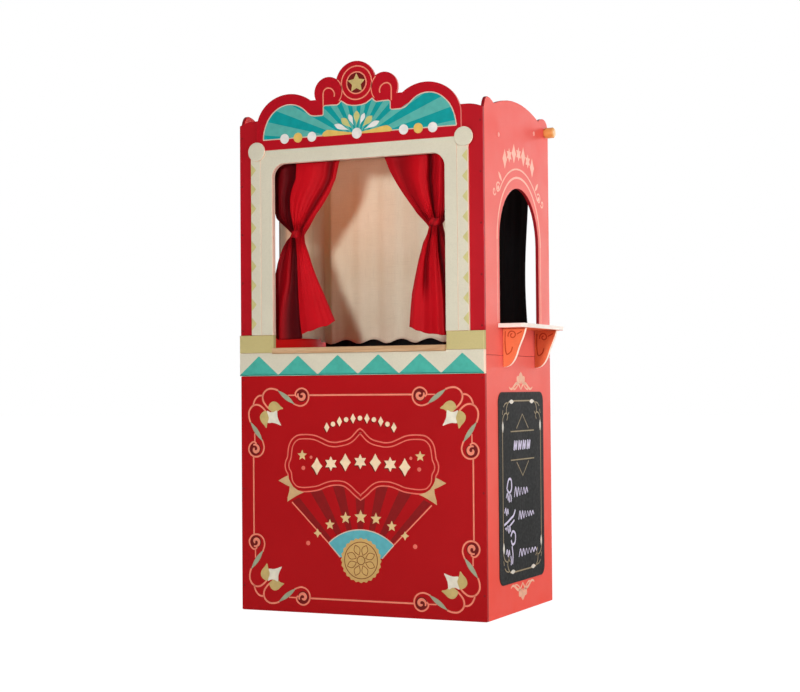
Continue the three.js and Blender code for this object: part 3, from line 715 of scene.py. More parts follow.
RIGHT_INNER = [(56, 1199), (63, 1177), (75, 1147), (95, 1112), (115, 1082), (135, 1055),
               (155, 1028), (171, 1012), (186, 995), (180, 976), (169, 955), (155, 909),
               (145, 862), (136, 816), (132, 773), (128, 716)]
RIGHT_OUTER = [(274, 1199), (270, 1139), (262, 1080), (252, 1045), (240, 1024), (229, 1010),
               (223, 1002), (227, 986), (234, 962), (245, 930), (256, 900), (262, 860),
               (265, 716)]
RIGHT_SHADE = [(94, 1199), (100, 1168), (109, 1130), (128, 1088), (151, 1050), (184, 1008)]
RIGHT_SWELL = [(161, 1199), (160, 1164), (157, 1120), (166, 1075), (183, 1034), (197, 1006)]
RIGHT_VALLEY = [(192, 1199), (192, 1147), (190, 1118), (194, 1081), (198, 1044), (204, 1010),
                (205, 1000)]
RIGHT_STRIP = [(217, 1199), (216, 1080), (214, 1036), (213, 1000)]
RIGHT_STREAK = [(193, 1000), (191, 979), (182, 943), (176, 906), (174, 870), (171, 780), (168, 716)]
RIGHT_SHINE = [(200, 1000), (200, 913), (202, 862), (205, 807), (208, 716)]
RIGHT_GULLY = [(210, 1000), (212, 971), (215, 934), (221, 898), (227, 861), (233, 806), (236, 716)]


def right_above(z, near, far):
    shaded, swell, valley, strip = (
        level_of(line, z) for line in (RIGHT_SHADE, RIGHT_SWELL, RIGHT_VALLEY, RIGHT_STRIP))
    rest = far - strip
    return [(0.0, near, 3, 0.3), (0.09, (near + shaded) / 2, 0, 0.3), (0.19, shaded + 3, 6, 0.55),
            (0.34, swell, -9, 0.0), (0.46, swell + 0.62 * (valley - swell), -5, 0.15),
            (0.56, valley, 12, 0.95), (0.64, valley + 0.35 * (strip - valley), 4, 0.45),
            (0.73, strip, -6, 0.05), (0.82, strip + 0.3 * rest, 3, 0.45),
            (0.91, strip + 0.62 * rest, 14, 0.85), (1.0, far, 9, 0.7)]


def right_below(z, near, far):
    streak, shine, gully = (
        level_of(line, z) for line in (RIGHT_STREAK, RIGHT_SHINE, RIGHT_GULLY))
    strong = step((z - 780) / 90)
    return [(0.0, near, 1, 0.3), (0.09, near + 0.28 * (streak - near), -4, 0.05),
            (0.19, near + 0.68 * (streak - near), -3, 0.1),
            (0.30, streak, 1 + 8 * strong, 0.15 + 0.6 * strong),
            (0.40, (streak + shine) / 2, -4, 0.1), (0.50, shine, -9, 0.0),
            (0.60, shine + 0.55 * (gully - shine), -3, 0.2), (0.70, gully, 14, 1.0),
            (0.80, gully + 0.35 * (far - gully), 9, 0.6),
            (0.90, gully + 0.7 * (far - gully), 13, 0.8), (1.0, far, 11, 0.7)]


LEFT_HEM = [(0.0, 45), (0.15, 31), (0.36, 19), (0.49, 12), (0.56, 1), (0.8, -1), (1.0, 6)]
RIGHT_HEM = [(0.0, 24), (0.19, 13), (0.4, 5), (0.6, 1), (1.0, -1)]
curtain(-1, LEFT_INNER, LEFT_OUTER, left_above, left_below, LEFT_HEM, 994, (235, 520))
curtain(1, RIGHT_INNER, RIGHT_OUTER, right_above, right_below, RIGHT_HEM, 1001, (235, 520))


def tie_band(side, size):
    """A flat tie drawn round the gathered waist, with soft creases and painted shade."""
    name = "left_tie_band" if side < 0 else "right_tie_band"
    low, high = (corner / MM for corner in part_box(name))
    mid, half = (low + high) / 2, (high - low) / 2
    inset = 1.2

    def place(u, v):
        a = 2 * math.pi * u
        pinch = 1 - 0.10 * math.sin(math.pi * v)
        crease = 0.5 * math.sin(9 * a + 5 * v)
        x = mid.x + (half.x - inset) * pinch * math.cos(a) + crease
        y = mid.y + (half.y - inset) * pinch * math.sin(a) + crease
        z = mid.z + half.z * (1 - 2 * v) * (0.86 + 0.08 * math.cos(a)) + 1.2 * math.sin(a)
        return x, y, z

    # Painted shade: darker along the creases and towards the tie's top and bottom edges.
    def shade(u, v):
        return 0.3 + 0.25 * math.sin(10 * math.pi * u + 5 * v) + 1.4 * abs(v - 0.5) ** 2

    piece = sheet_mesh(name + "_strap", 96, 14, place, size, RED_CLOTH, 0.9, shade)
    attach(piece, ("left" if side < 0 else "right") + "_curtain_set")
    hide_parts(name)


tie_band(-1, (105, 20))
tie_band(1, (118, 20))

# The backdrop's rail runs back along the left side, round a bend, and across the rear
BACK_X, BACK_Y, BEND = -332.0, 425.5, 18.0
LEG_FROM, BACK_TO = 179.0, 120.0
LEG = BACK_Y - BEND - LEG_FROM
TURN = math.pi / 2 * BEND
REST = BACK_TO - (BACK_X + BEND)
BACK_LENGTH = LEG + TURN + REST


def along_rail(s):
    """A place on the backdrop's bent rail and its outward direction."""
    if s < LEG:
        return (BACK_X, LEG_FROM + s), (-1.0, 0.0)
    if s < LEG + TURN:
        a = (s - LEG) / BEND
        cx, cy = BACK_X + BEND, BACK_Y - BEND
        return ((cx - BEND * math.cos(a), cy + BEND * math.sin(a)), (-math.cos(a), math.sin(a)))
    return (BACK_X + BEND + s - LEG - TURN, BACK_Y), (0.0, 1.0)


def backdrop_place(u, v):
    (x, y), (ox, oy) = along_rail(u * BACK_LENGTH)
    pocket, rail_z, top, radius = 0.045, 1243, 1239, 4.0
    wave = 2 * math.pi * (x / 88.0 if oy > 0.9 else y / 74.0)
    if v < pocket:
        a = math.radians(-70 + 250 * v / pocket)
        off, z = radius * math.cos(a), rail_z + 4.2 * math.sin(a)
    else:
        t = (v - pocket) / (1 - pocket)
        off = -radius * (1 - step(t / 0.05))
        off += (0.5 + 0.5 * t) * 4.0 * math.sin(wave) * step(t / 0.08)
        off += 0.7 * math.sin(2.3 * wave + 1.0) * step(t / 0.1)
        off -= 6.0 * math.exp(-((x + 294) / 7) ** 2) * step(t / 0.1) * (oy > 0.9)
        low = 727 if ox < -0.9 else 718
        lift = (6.0 if oy > 0.9 else 0.0) * math.sin(wave + 0.8) * step(t * 4 - 3)
        z = top + (low - top) * t + lift
    return x + ox * off, y + oy * off, z


def backdrop_shade(u, v):
    """Painted shade: a dark line along the seam at the backdrop's front edge, and the part
    by the side panel, which catches little light.
    """
    (x, y), (ox, oy) = along_rail(u * BACK_LENGTH)
    return 1.0 if u < 0.006 else max(0.3 * step((-286 - x) / 14), 0.55 * step((262 - y) / 60))


backdrop = sheet_mesh("backdrop_sheet", 260, 60, backdrop_place, (709, 545), BEIGE_CLOTH, 0.6,
                      backdrop_shade)
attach(backdrop, "stand")
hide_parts("backdrop_cloth")


def blackout_place(u, v):
    pocket, radius, rod_y, rod_z = 0.07, 11.0, 450.5, 1280
    left, wide, top, foot = -330, 625, 1270, 642
    x = left + wide * u
    wave = 2 * math.pi * x / 66.0
    if v < pocket:
        a = math.radians(-60 + 240 * v / pocket)
        return x, rod_y + radius * math.cos(a), rod_z + radius * math.sin(a)
    t = (v - pocket) / (1 - pocket)
    off = -radius * (1 - step(t / 0.06))
    off += step(t / 0.1) * (5.2 * math.sin(wave + 0.5 * math.sin(3 * t))
                            + 1.6 * math.sin(2.7 * wave + 2 * t))
    sway = 6 * math.sin(2 * math.pi * t * 1.1 + 0.4) * step(t / 0.2) * u
    z = top + (foot - top) * t + 3.0 * math.sin(wave + 1) * step(t * 4 - 3)
    return x + sway, rod_y + off, z


blackout = sheet_mesh("blackout_sheet", 260, 60, blackout_place, (700, 690), BLACK_CLOTH, 0.7)
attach(blackout, "blackout_set")
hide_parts("blackout_cloth")


# ------------------------ inks
def inks(slot, **shades):
    """The inks that share a slot: each name with its material and that slot."""
    return {name: (ink(name + "_ink", shade), slot) for name, shade in shades.items()}


def swelling(ends, more):
    """A taper that is widest in the middle of the stroke."""
    return lambda t: ends + more * math.sin(math.pi * t)


INK = {
    **inks("red_paint", fan_dark=(132, 14, 16), medal_dark=(104, 12, 10), screw=(132, 16, 22)),
    **inks("coral_paint", salmon=(234, 136, 110), rose=(226, 108, 92), peach=(240, 178, 146),
           arch=(249, 178, 154), arch_side=(240, 146, 130)),
    **inks("gold_paint", gold=(196, 172, 110), tail=(206, 168, 120), star=(222, 190, 134),
           disc=(203, 165, 101), lime=(196, 192, 120), triangle=(200, 190, 128),
           slate_gold=(150, 132, 98), amber=(222, 184, 96)),
    **inks("cream_paint", letter=(244, 216, 178), leaf=(156, 164, 136), white=(228, 222, 202),
           teal=(72, 172, 156), fan_teal=(92, 172, 180), sea=(4, 146, 146),
           sea_light=(86, 170, 160), outline=(214, 188, 168), pearl=(226, 222, 216),
           frame_line=(226, 214, 190), chalk=(214, 204, 228), slate_white=(222, 214, 200)),
    **inks("orange_paint", orange_line=(182, 66, 32)),
    **inks("bare_wood", umber=(120, 66, 34)),
}

# ------------------------ lower front panel
MID_X, MID_Z, DIAGONAL = 2.0, 302.5, 258.0


def corners(points):
    """A shape of the top left corner and its images in the other three."""
    for shape in (points, flipped(points, MID_Z)):
        yield shape
        yield mirrored(shape, MID_X)


def both_ways(points):
    """The same, with the shape's image in the corner's diagonal."""
    for shape in (points, [(DIAGONAL - z, DIAGONAL - x) for x, z in points]):
        yield from corners(shape)


CURL = [(-192, 545), (-182, 541), (-171, 539), (-158, 543), (-149, 553), (-147, 566),
        (-152, 578), (-164, 585), (-176, 583), (-185, 575), (-186, 567), (-181, 562)]
CURL_EYE = (-167, 565.5)
CROOK = [(-238, 580), (-251, 584), (-266, 584), (-278, 577), (-284, 566), (-283, 553),
         (-276, 542), (-267, 533)]
LINK = [(-284, 567), (-296, 566), (-306, 558), (-312, 546), (-312, 540)]
TULIP = [(-268, 533), (-263, 545), (-253, 551), (-241, 548), (-231, 539), (-223, 532),
         (-234, 529), (-243, 523), (-253, 521), (-262, 527)]
HEART = [(-272, 526), (-262, 523), (-252, 523), (-242, 527), (-240, 511), (-236, 500),
         (-230, 488), (-242, 492), (-255, 495), (-269, 495), (-266, 508)]
Print("front_curl_eyes", FRONT, "medal_dark").fills(
    both_ways(circle(*CURL_EYE, 16.5, 32))).done()
border = Print("front_border_lines", FRONT, "salmon", 2)
border.lines(both_ways(through(CURL, 44)), 4.2)
border.lines(both_ways(through(CROOK, 30)), 4.6)
border.lines(corners(through(LINK, 16)), 4.4)
border.lines(both_ways(spiral(*CURL_EYE, 12.5, 3.5, 150, 500, 40)), 7.5,
             taper=swelling(0.5, 0.6))
border.lines(([(-147, z), (150, z)] for z in (567, 38)), 4.4)
border.lines(([(x, 200), (x, 405)] for x in (-313, 316)), 4.0)
border.lines(both_ways([(-209, 567), (-188, 567)]), 3.4).done()
Print("front_leaf_accents", FRONT, "leaf", 3).fills(
    both_ways(petal(-188, 543, 144, 0, 64, 12, 0.5))).done()
Print("front_tulip_petals", FRONT, "gold", 3).fills(both_ways(through(TULIP, 40, True))).done()
Print("front_tulip_hearts", FRONT, "white", 4).fills(corners(through(HEART, 44, True))).done()

# The right half of the cartouche, from its top to its bottom
HALF = [(0, 480), (8, 475), (25, 458), (40, 450), (58, 446), (72, 444), (90, 446), (110, 454),
        (128, 461), (150, 464), (178, 463), (192, 457), (202, 447), (208, 435), (211, 420),
        (213, 405), (218, 394), (220, 381), (217, 369), (212, 361), (211, 350), (208, 338),
        (200, 327), (188, 318), (170, 315), (148, 316), (122, 320), (100, 328), (80, 333),
        (55, 333), (38, 326), (18, 309), (0, 296)]
right_half = beside(through(HALF, 110), MID_X, 1)
CARTOUCHE = right_half + mirrored(right_half[-2:0:-1], MID_X)
outlines = Print("front_cartouche_lines", FRONT, "rose", 3)
outlines.line(CARTOUCHE, 3.6, True).line(offset(CARTOUCHE, -11.0), 3.2, True)
for side in SIDES:
    for x, z, r in ((166, 377, 5.5), (143, 405, 4.2)):
        outlines.fill(circle(MID_X + side * x, z, r, 20))
    outlines.fill(circle(MID_X + side * 153, 181.5, 6.0, 24))
outlines.done()

FAN_X, FAN_Z = 1.0, 101.0
shoulders = [(MID_X + x, z) for x, z in ((-199, 290), (-160, 309), (160, 309), (199, 290))]
belly = [p for p in CARTOUCHE if p[1] < 335 and abs(p[0] - MID_X) < 150]
fan_rim = sorted(shoulders + belly) + [(FAN_X, FAN_Z - 5)]
FOLDS = ((-46.9, -41.8), (-34.2, -26.6), (-19, -11.4), (-3.8, 3.8), (11.4, 19), (26.6, 34.2),
         (41.8, 46.9))
Print("front_fan_folds", FRONT, "fan_dark").fills(
    ray(FAN_X, FAN_Z, 90 - end, 90 - start, fan_rim) for start, end in FOLDS).done()
top_arc = arc(MID_X, 83.4, 136.6, 133.2, 46.8, 40)
left_foot, right_foot = (MID_X - 60, 148), (MID_X + 60, 148)
Print("front_fan_base", FRONT, "fan_teal", 2).fill(top_arc + [right_foot, left_foot]).done()
Print("front_fan_sticks", FRONT, "salmon", 3).lines(
    (beside([(200, 287), (94, 184)], MID_X, side) for side in SIDES), 3.2).done()
Print("front_fan_edge", FRONT, "outline", 3).line([left_foot, *top_arc, right_foot], 2.6).done()

TAIL = [(240, 343), (225, 351), (211, 357), (209, 348), (204, 338), (196, 327), (184, 319),
        (165, 313), (178, 308), (190, 302), (204, 294), (214, 288), (213, 300), (208, 316),
        (207, 328), (218, 332), (228, 337)]
Print("front_ribbon_tails", FRONT, "tail", 4).fills(
    beside(TAIL, MID_X, side) for side in SIDES).done()
STARS = ((-89, 231, 14.5), (-43.5, 249, 16), (0, 253, 18.5), (43.5, 249, 16), (88, 231, 14.5))
Print("front_stars", FRONT, "star", 4).fills(star(MID_X + x, z, r) for x, z, r in STARS).done()
small = Print("front_small_stars", FRONT, "star", 4)
for side in SIDES:
    small.fill(star(MID_X + side * 169, 410, 14.5))
    small.fill(star(MID_X + side * 125, 208, 11.5, 0.5, 4))
small.done()

# Rows of plain signs in the place of the lettering
WORD = ((-126, 382), (-85, 389), (-43, 393), (0, 395), (43, 393), (85, 389), (126, 382))
signs = [moved(star(0, 0, 19, 0.55, 6) if k % 2 else lozenge(23, 9), MID_X + x, z)
         for k, (x, z) in enumerate(WORD)]
for k in range(11):
    a = math.radians(90 + (k - 5) * 5.6)
    sign = circle(0, 0, 6.4, 18) if k % 2 else [(0, 13), (7.5, 0), (0, -13), (-7.5, 0)]
    signs.append(moved(sign, MID_X + 205 * math.cos(a), 302 + 205 * math.sin(a)))
Print("front_lozenge_shadows", FRONT, "medal_dark", 3).fills(
    moved(sign, -2.6, -2.6) for sign in signs).done()
Print("front_lozenge_row", FRONT, "letter", 4).fills(signs).done()

DISC_Z, DISC_R, SCALLOP, SCALLOPS = 141.5, 58.0, 1.6, 24
scalloped = []
for k in range(8 * SCALLOPS):
    a = 2 * math.pi * k / (8 * SCALLOPS)
    r = DISC_R - SCALLOP + SCALLOP * math.cos(SCALLOPS * a)
    scalloped.append((MID_X + r * math.cos(a), DISC_Z + r * math.sin(a)))
Print("front_disc", FRONT, "disc", 4).fill(scalloped).done()
rosette = Print("front_disc_rosette", FRONT, "umber", 5)
rosette.lines((circle(MID_X, DISC_Z, r, n) for r, n in ((47, 64), (11, 32))), 2.2, True)
rosette.lines((petal(MID_X, DISC_Z, 22.5 + 45 * k, 14, 42, 17, 0.55) for k in range(8)),
              1.9, True).done()

# ------------------------ zigzag band and pilasters
TOOTH, BAND_HALF, BAND_LOW, BAND_HIGH = 350.0 / 3, 349.6, 621, 670
waves = Print("band_triangles", BAND, "teal")
for k in range(6):
    middle = (k - 2.5) * TOOTH
    half = min(TOOTH / 2, BAND_HALF - abs(middle))
    waves.fill([(middle - half, BAND_LOW), (middle + half, BAND_LOW),
                (middle + 1.5, BAND_HIGH), (middle - 1.5, BAND_HIGH)])
waves.line([(-349.4, 620.6), (349.4, 620.6)], 3.4).done()
TRIANGLE = [(311.0, 17), (311.0, -17), (298.0, -2.5), (296.5, 0), (298.0, 2.5)]
Print("pilaster_triangles", PILASTER, "triangle").fills(
    beside(moved(TRIANGLE, 0, 756.7 + k * 51.05), 0, side)
    for side in SIDES for k in range(9)).done()
Print("pilaster_lines", PILASTER, "frame_line").lines(
    (beside([(284.5, 728), (284.5, 1189)], 0, side) for side in SIDES), 1.6).done()

# ------------------------ crest
SUN_X, SUN_Z, SILL_Z, MEDAL_Z = 3.0, 1220.0, 1243, 1373.5
LEFT_FIELD = [(-273, 1243), (-272, 1257), (-267, 1276), (-257, 1297), (-243, 1313),
              (-225, 1325), (-205, 1331), (-185, 1331), (-168, 1326), (-154, 1318),
              (-142, 1307), (-131, 1299), (-119, 1296)]
LEFT_NECK = [(-98, 1296), (-94, 1298), (-94, 1318), (-89, 1321), (-72, 1321), (-54, 1320),
             (-48, 1323), (-42, 1330), (-36, 1326), (-25, 1319), (-11, 1315.5), (3, 1314.5)]
RIGHT_FIELD = [(282, 1243), (280, 1257), (275, 1276), (265, 1297), (252, 1312), (235, 1325),
               (215, 1332), (193, 1332), (176, 1327), (162, 1318), (151, 1308), (140, 1300),
               (128, 1296.5)]
RIGHT_NECK = [(103, 1296.5), (99, 1299), (99, 1318), (94, 1321), (78, 1321), (60, 1320),
              (54, 1323), (48, 1330), (42, 1326), (31, 1319), (17, 1315.5), (3, 1314.5)]
FIELD = (through(LEFT_FIELD, 60) + LEFT_NECK + RIGHT_NECK[-2::-1]
         + through(RIGHT_FIELD, 60)[::-1])
Print("crest_field", CREST, "sea").fill(FIELD).done()
Print("crest_rays", CREST, "sea_light", 2).fills(
    ray(SUN_X, SUN_Z, max(7.5 * k, 5.2), 7.5 * (k + 1), FIELD, SILL_Z + 0.2)
    for k in range(0, 24, 2)).done()
Print("crest_field_outline", CREST, "outline", 3).line(FIELD, 2.8, True).done()

WEDGE = [(-99, 1243), (-94, 1251), (-84, 1257), (-70, 1256), (-45, 1251), (-11, 1245.5),
         (-11, 1241), (-60, 1240.5), (-92, 1240.5)]
PEARLS = ((-209, 13), (-128, 13), (3, 14), (136, 13), (217, 13))
amber = Print("crest_amber_shapes", CREST, "amber", 4).fills((WEDGE, mirrored(WEDGE, SUN_X)))
amber.fills(circle(x, SILL_Z, 13, 36) for x in (-169, 177)).done()
Print("crest_gilt_shapes", CREST, "lime", 4).fills(
    petal(SUN_X, SILL_Z, angle, 20, far, 17, 0.7)
    for angle, far in ((137, 61), (90, 58), (43, 61))).done()
pearls = Print("crest_pearls", CREST, "pearl", 5)
pearls.fills(circle(x, SILL_Z - 0.5, r, 36) for x, r in PEARLS)
pearls.fills(petal(SUN_X, SILL_Z, angle, 21, far, width, 0.72) for angle, far, width in (
    (158, 70, 14), (114, 55, 12), (66, 55, 12), (22, 70, 14))).done()

VOLUTE = [(-94, 1320), (-94, 1336), (-94, 1352), (-91, 1361), (-83, 1366), (-73, 1365),
          (-65, 1359), (-61, 1350), (-62, 1342)]
scrolls = Print("crest_scroll_lines", CREST, "salmon", 3)
scrolls.lines((through(shape, 40) for shape in (VOLUTE, mirrored(VOLUTE, SUN_X + 1))), 3.4)
scrolls.lines((beside(arc(-83, 1355.5, 41, 48, -38, 22), SUN_X, side) for side in SIDES), 2.6)
scrolls.lines((circle(SUN_X, MEDAL_Z, r, 64) for r in (43.5, 28)), 3.4, True).done()
Print("crest_medal_field", CREST, "medal_dark", 2).fill(circle(SUN_X, MEDAL_Z, 27, 48)).done()
Print("crest_medal_star", CREST, "gold", 4).fill(star(SUN_X, MEDAL_Z - 1, 26.0, 0.5)).done()

# ------------------------ side boards
HALF_DEPTH, SPRING_Z = 246.0, 961


def side_prints(name, face, sense):
    """Lines, scrolls and lozenges about the window, drawn outward from its middle."""
    def laid(points):
        return [(sense * y, z) for y, z in points]

    band = Print(name + "_arch_band", face, "arch")
    band.line(laid(arc(HALF_DEPTH, SPRING_Z, 160, 0, 180, 60, 1.08)), 5.5)
    band.line(laid(arc(HALF_DEPTH, SPRING_Z, 184, 40, 140, 50, 1.06)), 4.2)
    for way in SIDES:
        for out, cz, r_out, start, end in ((150, 1093, 15, 60, 500), (176, 1082, 11, 200, -160)):
            cy = HALF_DEPTH + way * out
            turns = spiral(cy, cz, 3, r_out, start, end, 40)
            band.line(laid([(cy + way * (y - cy), z) for y, z in turns]), 4.0)
        band.fill(laid(petal(HALF_DEPTH + way * 122, 1112, 90 - way * 48, 0, 34, 11, 0.5)))
        band.fill(laid(circle(HALF_DEPTH + way * 151, 1093, 5, 16)))
    band.done()
    Print(name + "_arch_sides", face, "arch_side").lines(
        (laid(beside([(160, 750), (160, SPRING_Z)], HALF_DEPTH, way)) for way in SIDES),
        5.5).done()
    row = Print(name + "_lozenge_row", face, "arch")
    for k in range(7):
        a = math.radians(90 + (k - 3) * 8.8)
        sign = star(0, 0, 19, 0.55, 6) if k % 2 else lozenge(26, 11)
        row.fill(laid(moved(sign, HALF_DEPTH + 227 * math.cos(a),
                            SPRING_Z + 236 * math.sin(a))))
    row.done()


side_prints("right_side", RIGHT, 1)
side_prints("left_side", LEFT, -1)

WING = [(86, 9), (76, 4), (62, 5), (48, 12), (34, 18), (18, 17), (6, 8), (0, 2)]
STEM = [(54, 3), (42, 4), (30, 9), (22, 14)]
fleurons = Print("right_side_fleurons", RIGHT, "peach")


def fleuron(base_z, way):
    """Three leaves over two scrolls, upright (1) or hanging (-1) at base_z."""
    def stood(points):
        return [(y, base_z + way * z) for y, z in points]

    for side in SIDES:
        wing, stem = beside(WING, HALF_DEPTH, side), beside(STEM, HALF_DEPTH, side)
        fleurons.line(stood(through(wing, 30)), 5.6, taper=swelling(0.55, 0.8))
        fleurons.line(stood(through(stem, 18)), 4.4)
        fleurons.fill(stood(petal(HALF_DEPTH + side * 5, 18, 90 - side * 56, 0, 30, 21, 0.64)))
    fleurons.fill(stood(petal(HALF_DEPTH, 15, 90, 0, 34, 27, 0.64)))


fleuron(575, 1)
fleuron(75, -1)
fleurons.done()

# ------------------------ chalkboard
SLATE_Y, SLATE_Z = 246.5, 327.0
# Corner scrolls of the gilt frame, from the board's middle, with their widths
BENDS = (([(140, 150), (139, 172), (128, 186), (112, 190), (103, 181), (110, 172)], 3.4),
         ([(68, 221), (90, 220), (106, 210), (112, 196), (104, 186), (94, 192)], 3.4),
         ([(132, 206), (120, 214), (104, 217)], 3.0), ([(136, 198), (140, 186)], 3.0))


def placed(points, way_y, way_z):
    return [(SLATE_Y + way_y * y, SLATE_Z + way_z * z) for y, z in points]


gilding = Print("slate_frame_lines", SLATE, "slate_gold")
tips = Print("slate_leaf_tips", SLATE, "slate_white", 2)
for way in SIDES:
    gilding.line([(SLATE_Y + way * 140.5, 178), (SLATE_Y + way * 140.5, 476)], 3.4)
    gilding.line([(182, SLATE_Z + way * 221), (312, SLATE_Z + way * 221)], 3.4)
    for way_z in SIDES:
        for bend, width in BENDS:
            gilding.line(placed(through(bend, 28), way, way_z), width)
        tips.fill(placed(petal(58, 219, 0, 0, 34, 11, 0.5), way, way_z))
        tips.fill(placed(petal(138, 140, 90, 0, 30, 11, 0.5), way, way_z))
gilding.lines(([(164, 469), (336, 469)], [(206, 476), (250, 513), (294, 476)],
               [(164, 395), (336, 395)], [(206, 389), (250, 352), (294, 389)]), 3.0).done()
tips.done()

# Zigzags in the place of the chalked words, then the small marks beside them
HATCH = [(-11, 420), (-5, 443), (3, 423), (11, 444)]
SCRAWL = [(-12, 0), (-4, 12), (2, -6), (10, 9), (14, -4)]
STROKES = (
    (6, 40, [(132, 322), (146, 346), (164, 344), (166, 322), (150, 312), (134, 322)]),
    (5, 16, [(150, 310), (153, 300), (148, 288)]),
    (5, 16, [(158, 308), (164, 298), (160, 288)]),
    (6, 30, [(112, 232), (136, 238), (160, 246), (178, 252), (192, 266)]),
    (5, 30, [(118, 222), (140, 224), (164, 232), (184, 240)]),
    (6, 36, [(158, 200), (172, 212), (190, 204), (188, 184), (170, 178), (160, 190)]),
    (6, 20, [(166, 174), (172, 150), (168, 128)]),
    (5, 14, [(156, 150), (160, 138), (158, 126)]))
chalk = Print("chalk_marks", SLATE, "chalk", 3)
chalk.lines((through(moved(HATCH, 198 + 32 * k, 0), 20) for k in range(4)), 7.6)
for y, z, turns, pitch, height in ((186, 312, 5, 20, 13), (216, 250, 6, 19, 11),
                                   (216, 152, 6, 22, 10)):
    wave = [(y + pitch * k / 2, z + (height if k % 2 else -height) * (1 - 0.05 * k))
            for k in range(turns * 2 + 1)]
    chalk.line(through(wave, 90), 4.2, taper=lambda t: 0.75 + 0.35 * math.sin(9 * t))
for width, count, stroke in STROKES:
    chalk.line(through(stroke, count), width)
chalk.lines((through(moved(SCRAWL, y, z), 24)
             for y, z in ((140, 300), (128, 262), (142, 216), (136, 156))), 4.4).done()

# ------------------------ bracket scrolls, screws
for name in ("front", "rear"):
    low, high = (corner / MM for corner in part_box(name + "_shelf_bracket"))
    curls = Print(name + "_bracket_scrolls", Face((0, low.y, 0), (1, 0, 0), (0, 0, 1)),
                  "orange_line")
    curls.line(spiral(low.x + 26, high.z - 18, 3, 12, 90, 560, 50), 3.2)
    curls.line(through([(low.x + 7, high.z - 8), (low.x + 6, high.z - 40), (low.x + 10, low.z + 34),
                        (low.x + 22, low.z + 40), (low.x + 26, low.z + 52)], 40), 3.2)
    curls.line(through([(low.x + 38, high.z - 16), (low.x + 46, high.z - 12),
                        (low.x + 52, high.z - 9)], 12), 3.0)
    curls.done()

Print("front_screw_heads", FRONT, "screw", 2).fills(
    circle(side * 343, z, 3.0, 20) for side in SIDES
    for z in (65, 320, 608, 738, 866, 995, 1124, 1253)).done()

# ------------------------ camera, light, floor
scene = bpy.context.scene
scene.view_settings.view_transform = "Standard"

# Solved from the straight edges in the photo, in metres, degrees and pixels
EYE = Vector((1.9131, -3.8951, 0.5780))
YAW, PITCH, ROLL = math.radians(24.778), math.radians(1.507), math.radians(-0.463)
ahead = Vector((-math.sin(YAW) * math.cos(PITCH), math.cos(YAW) * math.cos(PITCH),
                math.sin(PITCH)))
level = Vector((math.cos(YAW), math.sin(YAW), 0.0))
above = level.cross(ahead)
right = math.cos(ROLL) * level + math.sin(ROLL) * above
up = -math.sin(ROLL) * level + math.cos(ROLL) * above
camera_data = bpy.data.cameras.new("photo_camera")
FOCAL_PIXELS, PHOTO_WIDTH = 1681.15, 800
camera_data.sensor_width = 36.0
camera_data.lens = 36.0 * FOCAL_PIXELS / PHOTO_WIDTH
camera_data.clip_end = 100.0
camera = bpy.data.objects.new("photo_camera", camera_data)
scene.collection.objects.link(camera)
turned = Matrix((right, up, -ahead)).transposed().to_4x4()
camera.matrix_world = Matrix.Translation(EYE) @ turned
scene.camera = camera


def lamp(name, where, toward, power, size, tone=(255, 255, 255)):
    """A square soft lamp: places in metres, power in watts."""
    data = bpy.data.lights.new(name, "AREA")
    data.energy = power
    data.size = size
    data.color = colour(*tone)[:3]
    made = bpy.data.objects.new(name, data)
    made.location = where
    made.rotation_euler = (Vector(toward) - Vector(where)).to_track_quat("-Z", "Y").to_euler()
    made.visible_camera = False
    scene.collection.objects.link(made)


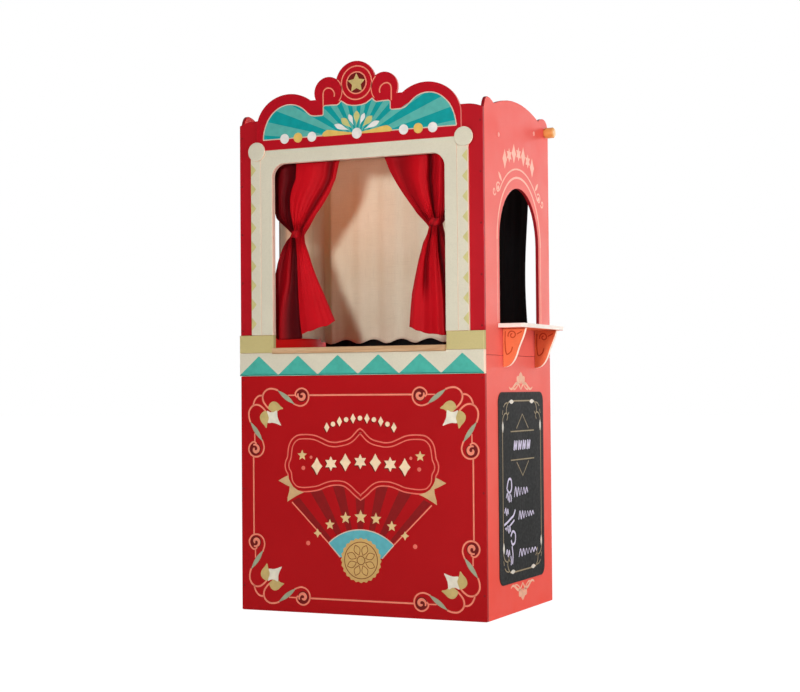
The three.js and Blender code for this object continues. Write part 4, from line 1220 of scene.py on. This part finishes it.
lamp("key", (0.70, -2.90, 1.11), (0.0, 0.0, 0.85), 56.0, 0.2)
lamp("side_key", (2.4, -1.6, 1.9), (0.0, 0.1, 0.8), 18.0, 0.8)
lamp("right_fill", (3.4, 0.6, 1.1), (0.35, 0.25, 0.7), 46.0, 1.8)
lamp("left_fill", (-3.4, 1.2, 1.5), (-0.35, 0.25, 0.7), 60.0, 1.8)
lamp("rear_fill", (0.4, 3.4, 1.5), (0.0, 0.45, 0.7), 60.0, 1.8)
lamp("inner_bounce", (-0.20, 0.20, 1.10), (-0.20, 0.43, 1.10), 0.2, 0.22, (255, 128, 46))


def seen(tree):
    """1 for rays that carry the background to the eye, straight or by a mirror or glass."""
    path = add_node(tree, "ShaderNodeLightPath").outputs
    last = path["Is Camera Ray"]
    for other in ("Is Glossy Ray", "Is Transmission Ray"):
        last = add_node(tree, "ShaderNodeMath", {0: last, 1: path[other]},
                        operation="MAXIMUM").outputs[0]
    return last


world = bpy.data.worlds.new("studio")
scene.world = world
world.use_nodes = True
sky = world.node_tree
# A weak sky lights the stand; the eye sees a white one
WHITE = (1.0, 1.0, 1.0, 1.0)
plain = sky.nodes["Background"]
plain.inputs["Color"].default_value = WHITE
plain.inputs["Strength"].default_value = 0.08
white = add_node(sky, "ShaderNodeBackground", {"Color": WHITE, "Strength": 1.0})
either = add_node(sky, "ShaderNodeMixShader", {
    0: seen(sky), 1: plain.outputs["Background"], 2: white.outputs["Background"]})
sky.links.new(either.outputs["Shader"], sky.nodes["World Output"].inputs["Surface"])

floor_mesh = bpy.data.meshes.new("studio_floor")
FLOOR = 30
floor_mesh.from_pydata([(-FLOOR, -FLOOR, 0), (FLOOR, -FLOOR, 0), (FLOOR, FLOOR, 0),
                        (-FLOOR, FLOOR, 0)], [], [(0, 1, 2, 3)])
floor = bpy.data.objects.new("studio_floor", floor_mesh)
floor.location.z = -0.0004
scene.collection.objects.link(floor)
cover = Finish("floor_paper", Base_Color=(0.86, 0.86, 0.86, 1.0), Roughness=0.9,
               Specular_IOR_Level=0.1)
glow = cover.node("ShaderNodeEmission", {"Color": (1.0, 1.0, 1.0, 1.0), "Strength": 1.05})
share = cover.math("MULTIPLY", seen(cover.tree), 0.96)
blend = cover.node("ShaderNodeMixShader", {
    0: share, 1: cover.shader.outputs["BSDF"], 2: glow.outputs["Emission"]})
cover.tree.links.new(blend.outputs["Shader"],
                     cover.tree.nodes["Material Output"].inputs["Surface"])
floor_mesh.materials.append(cover.material)
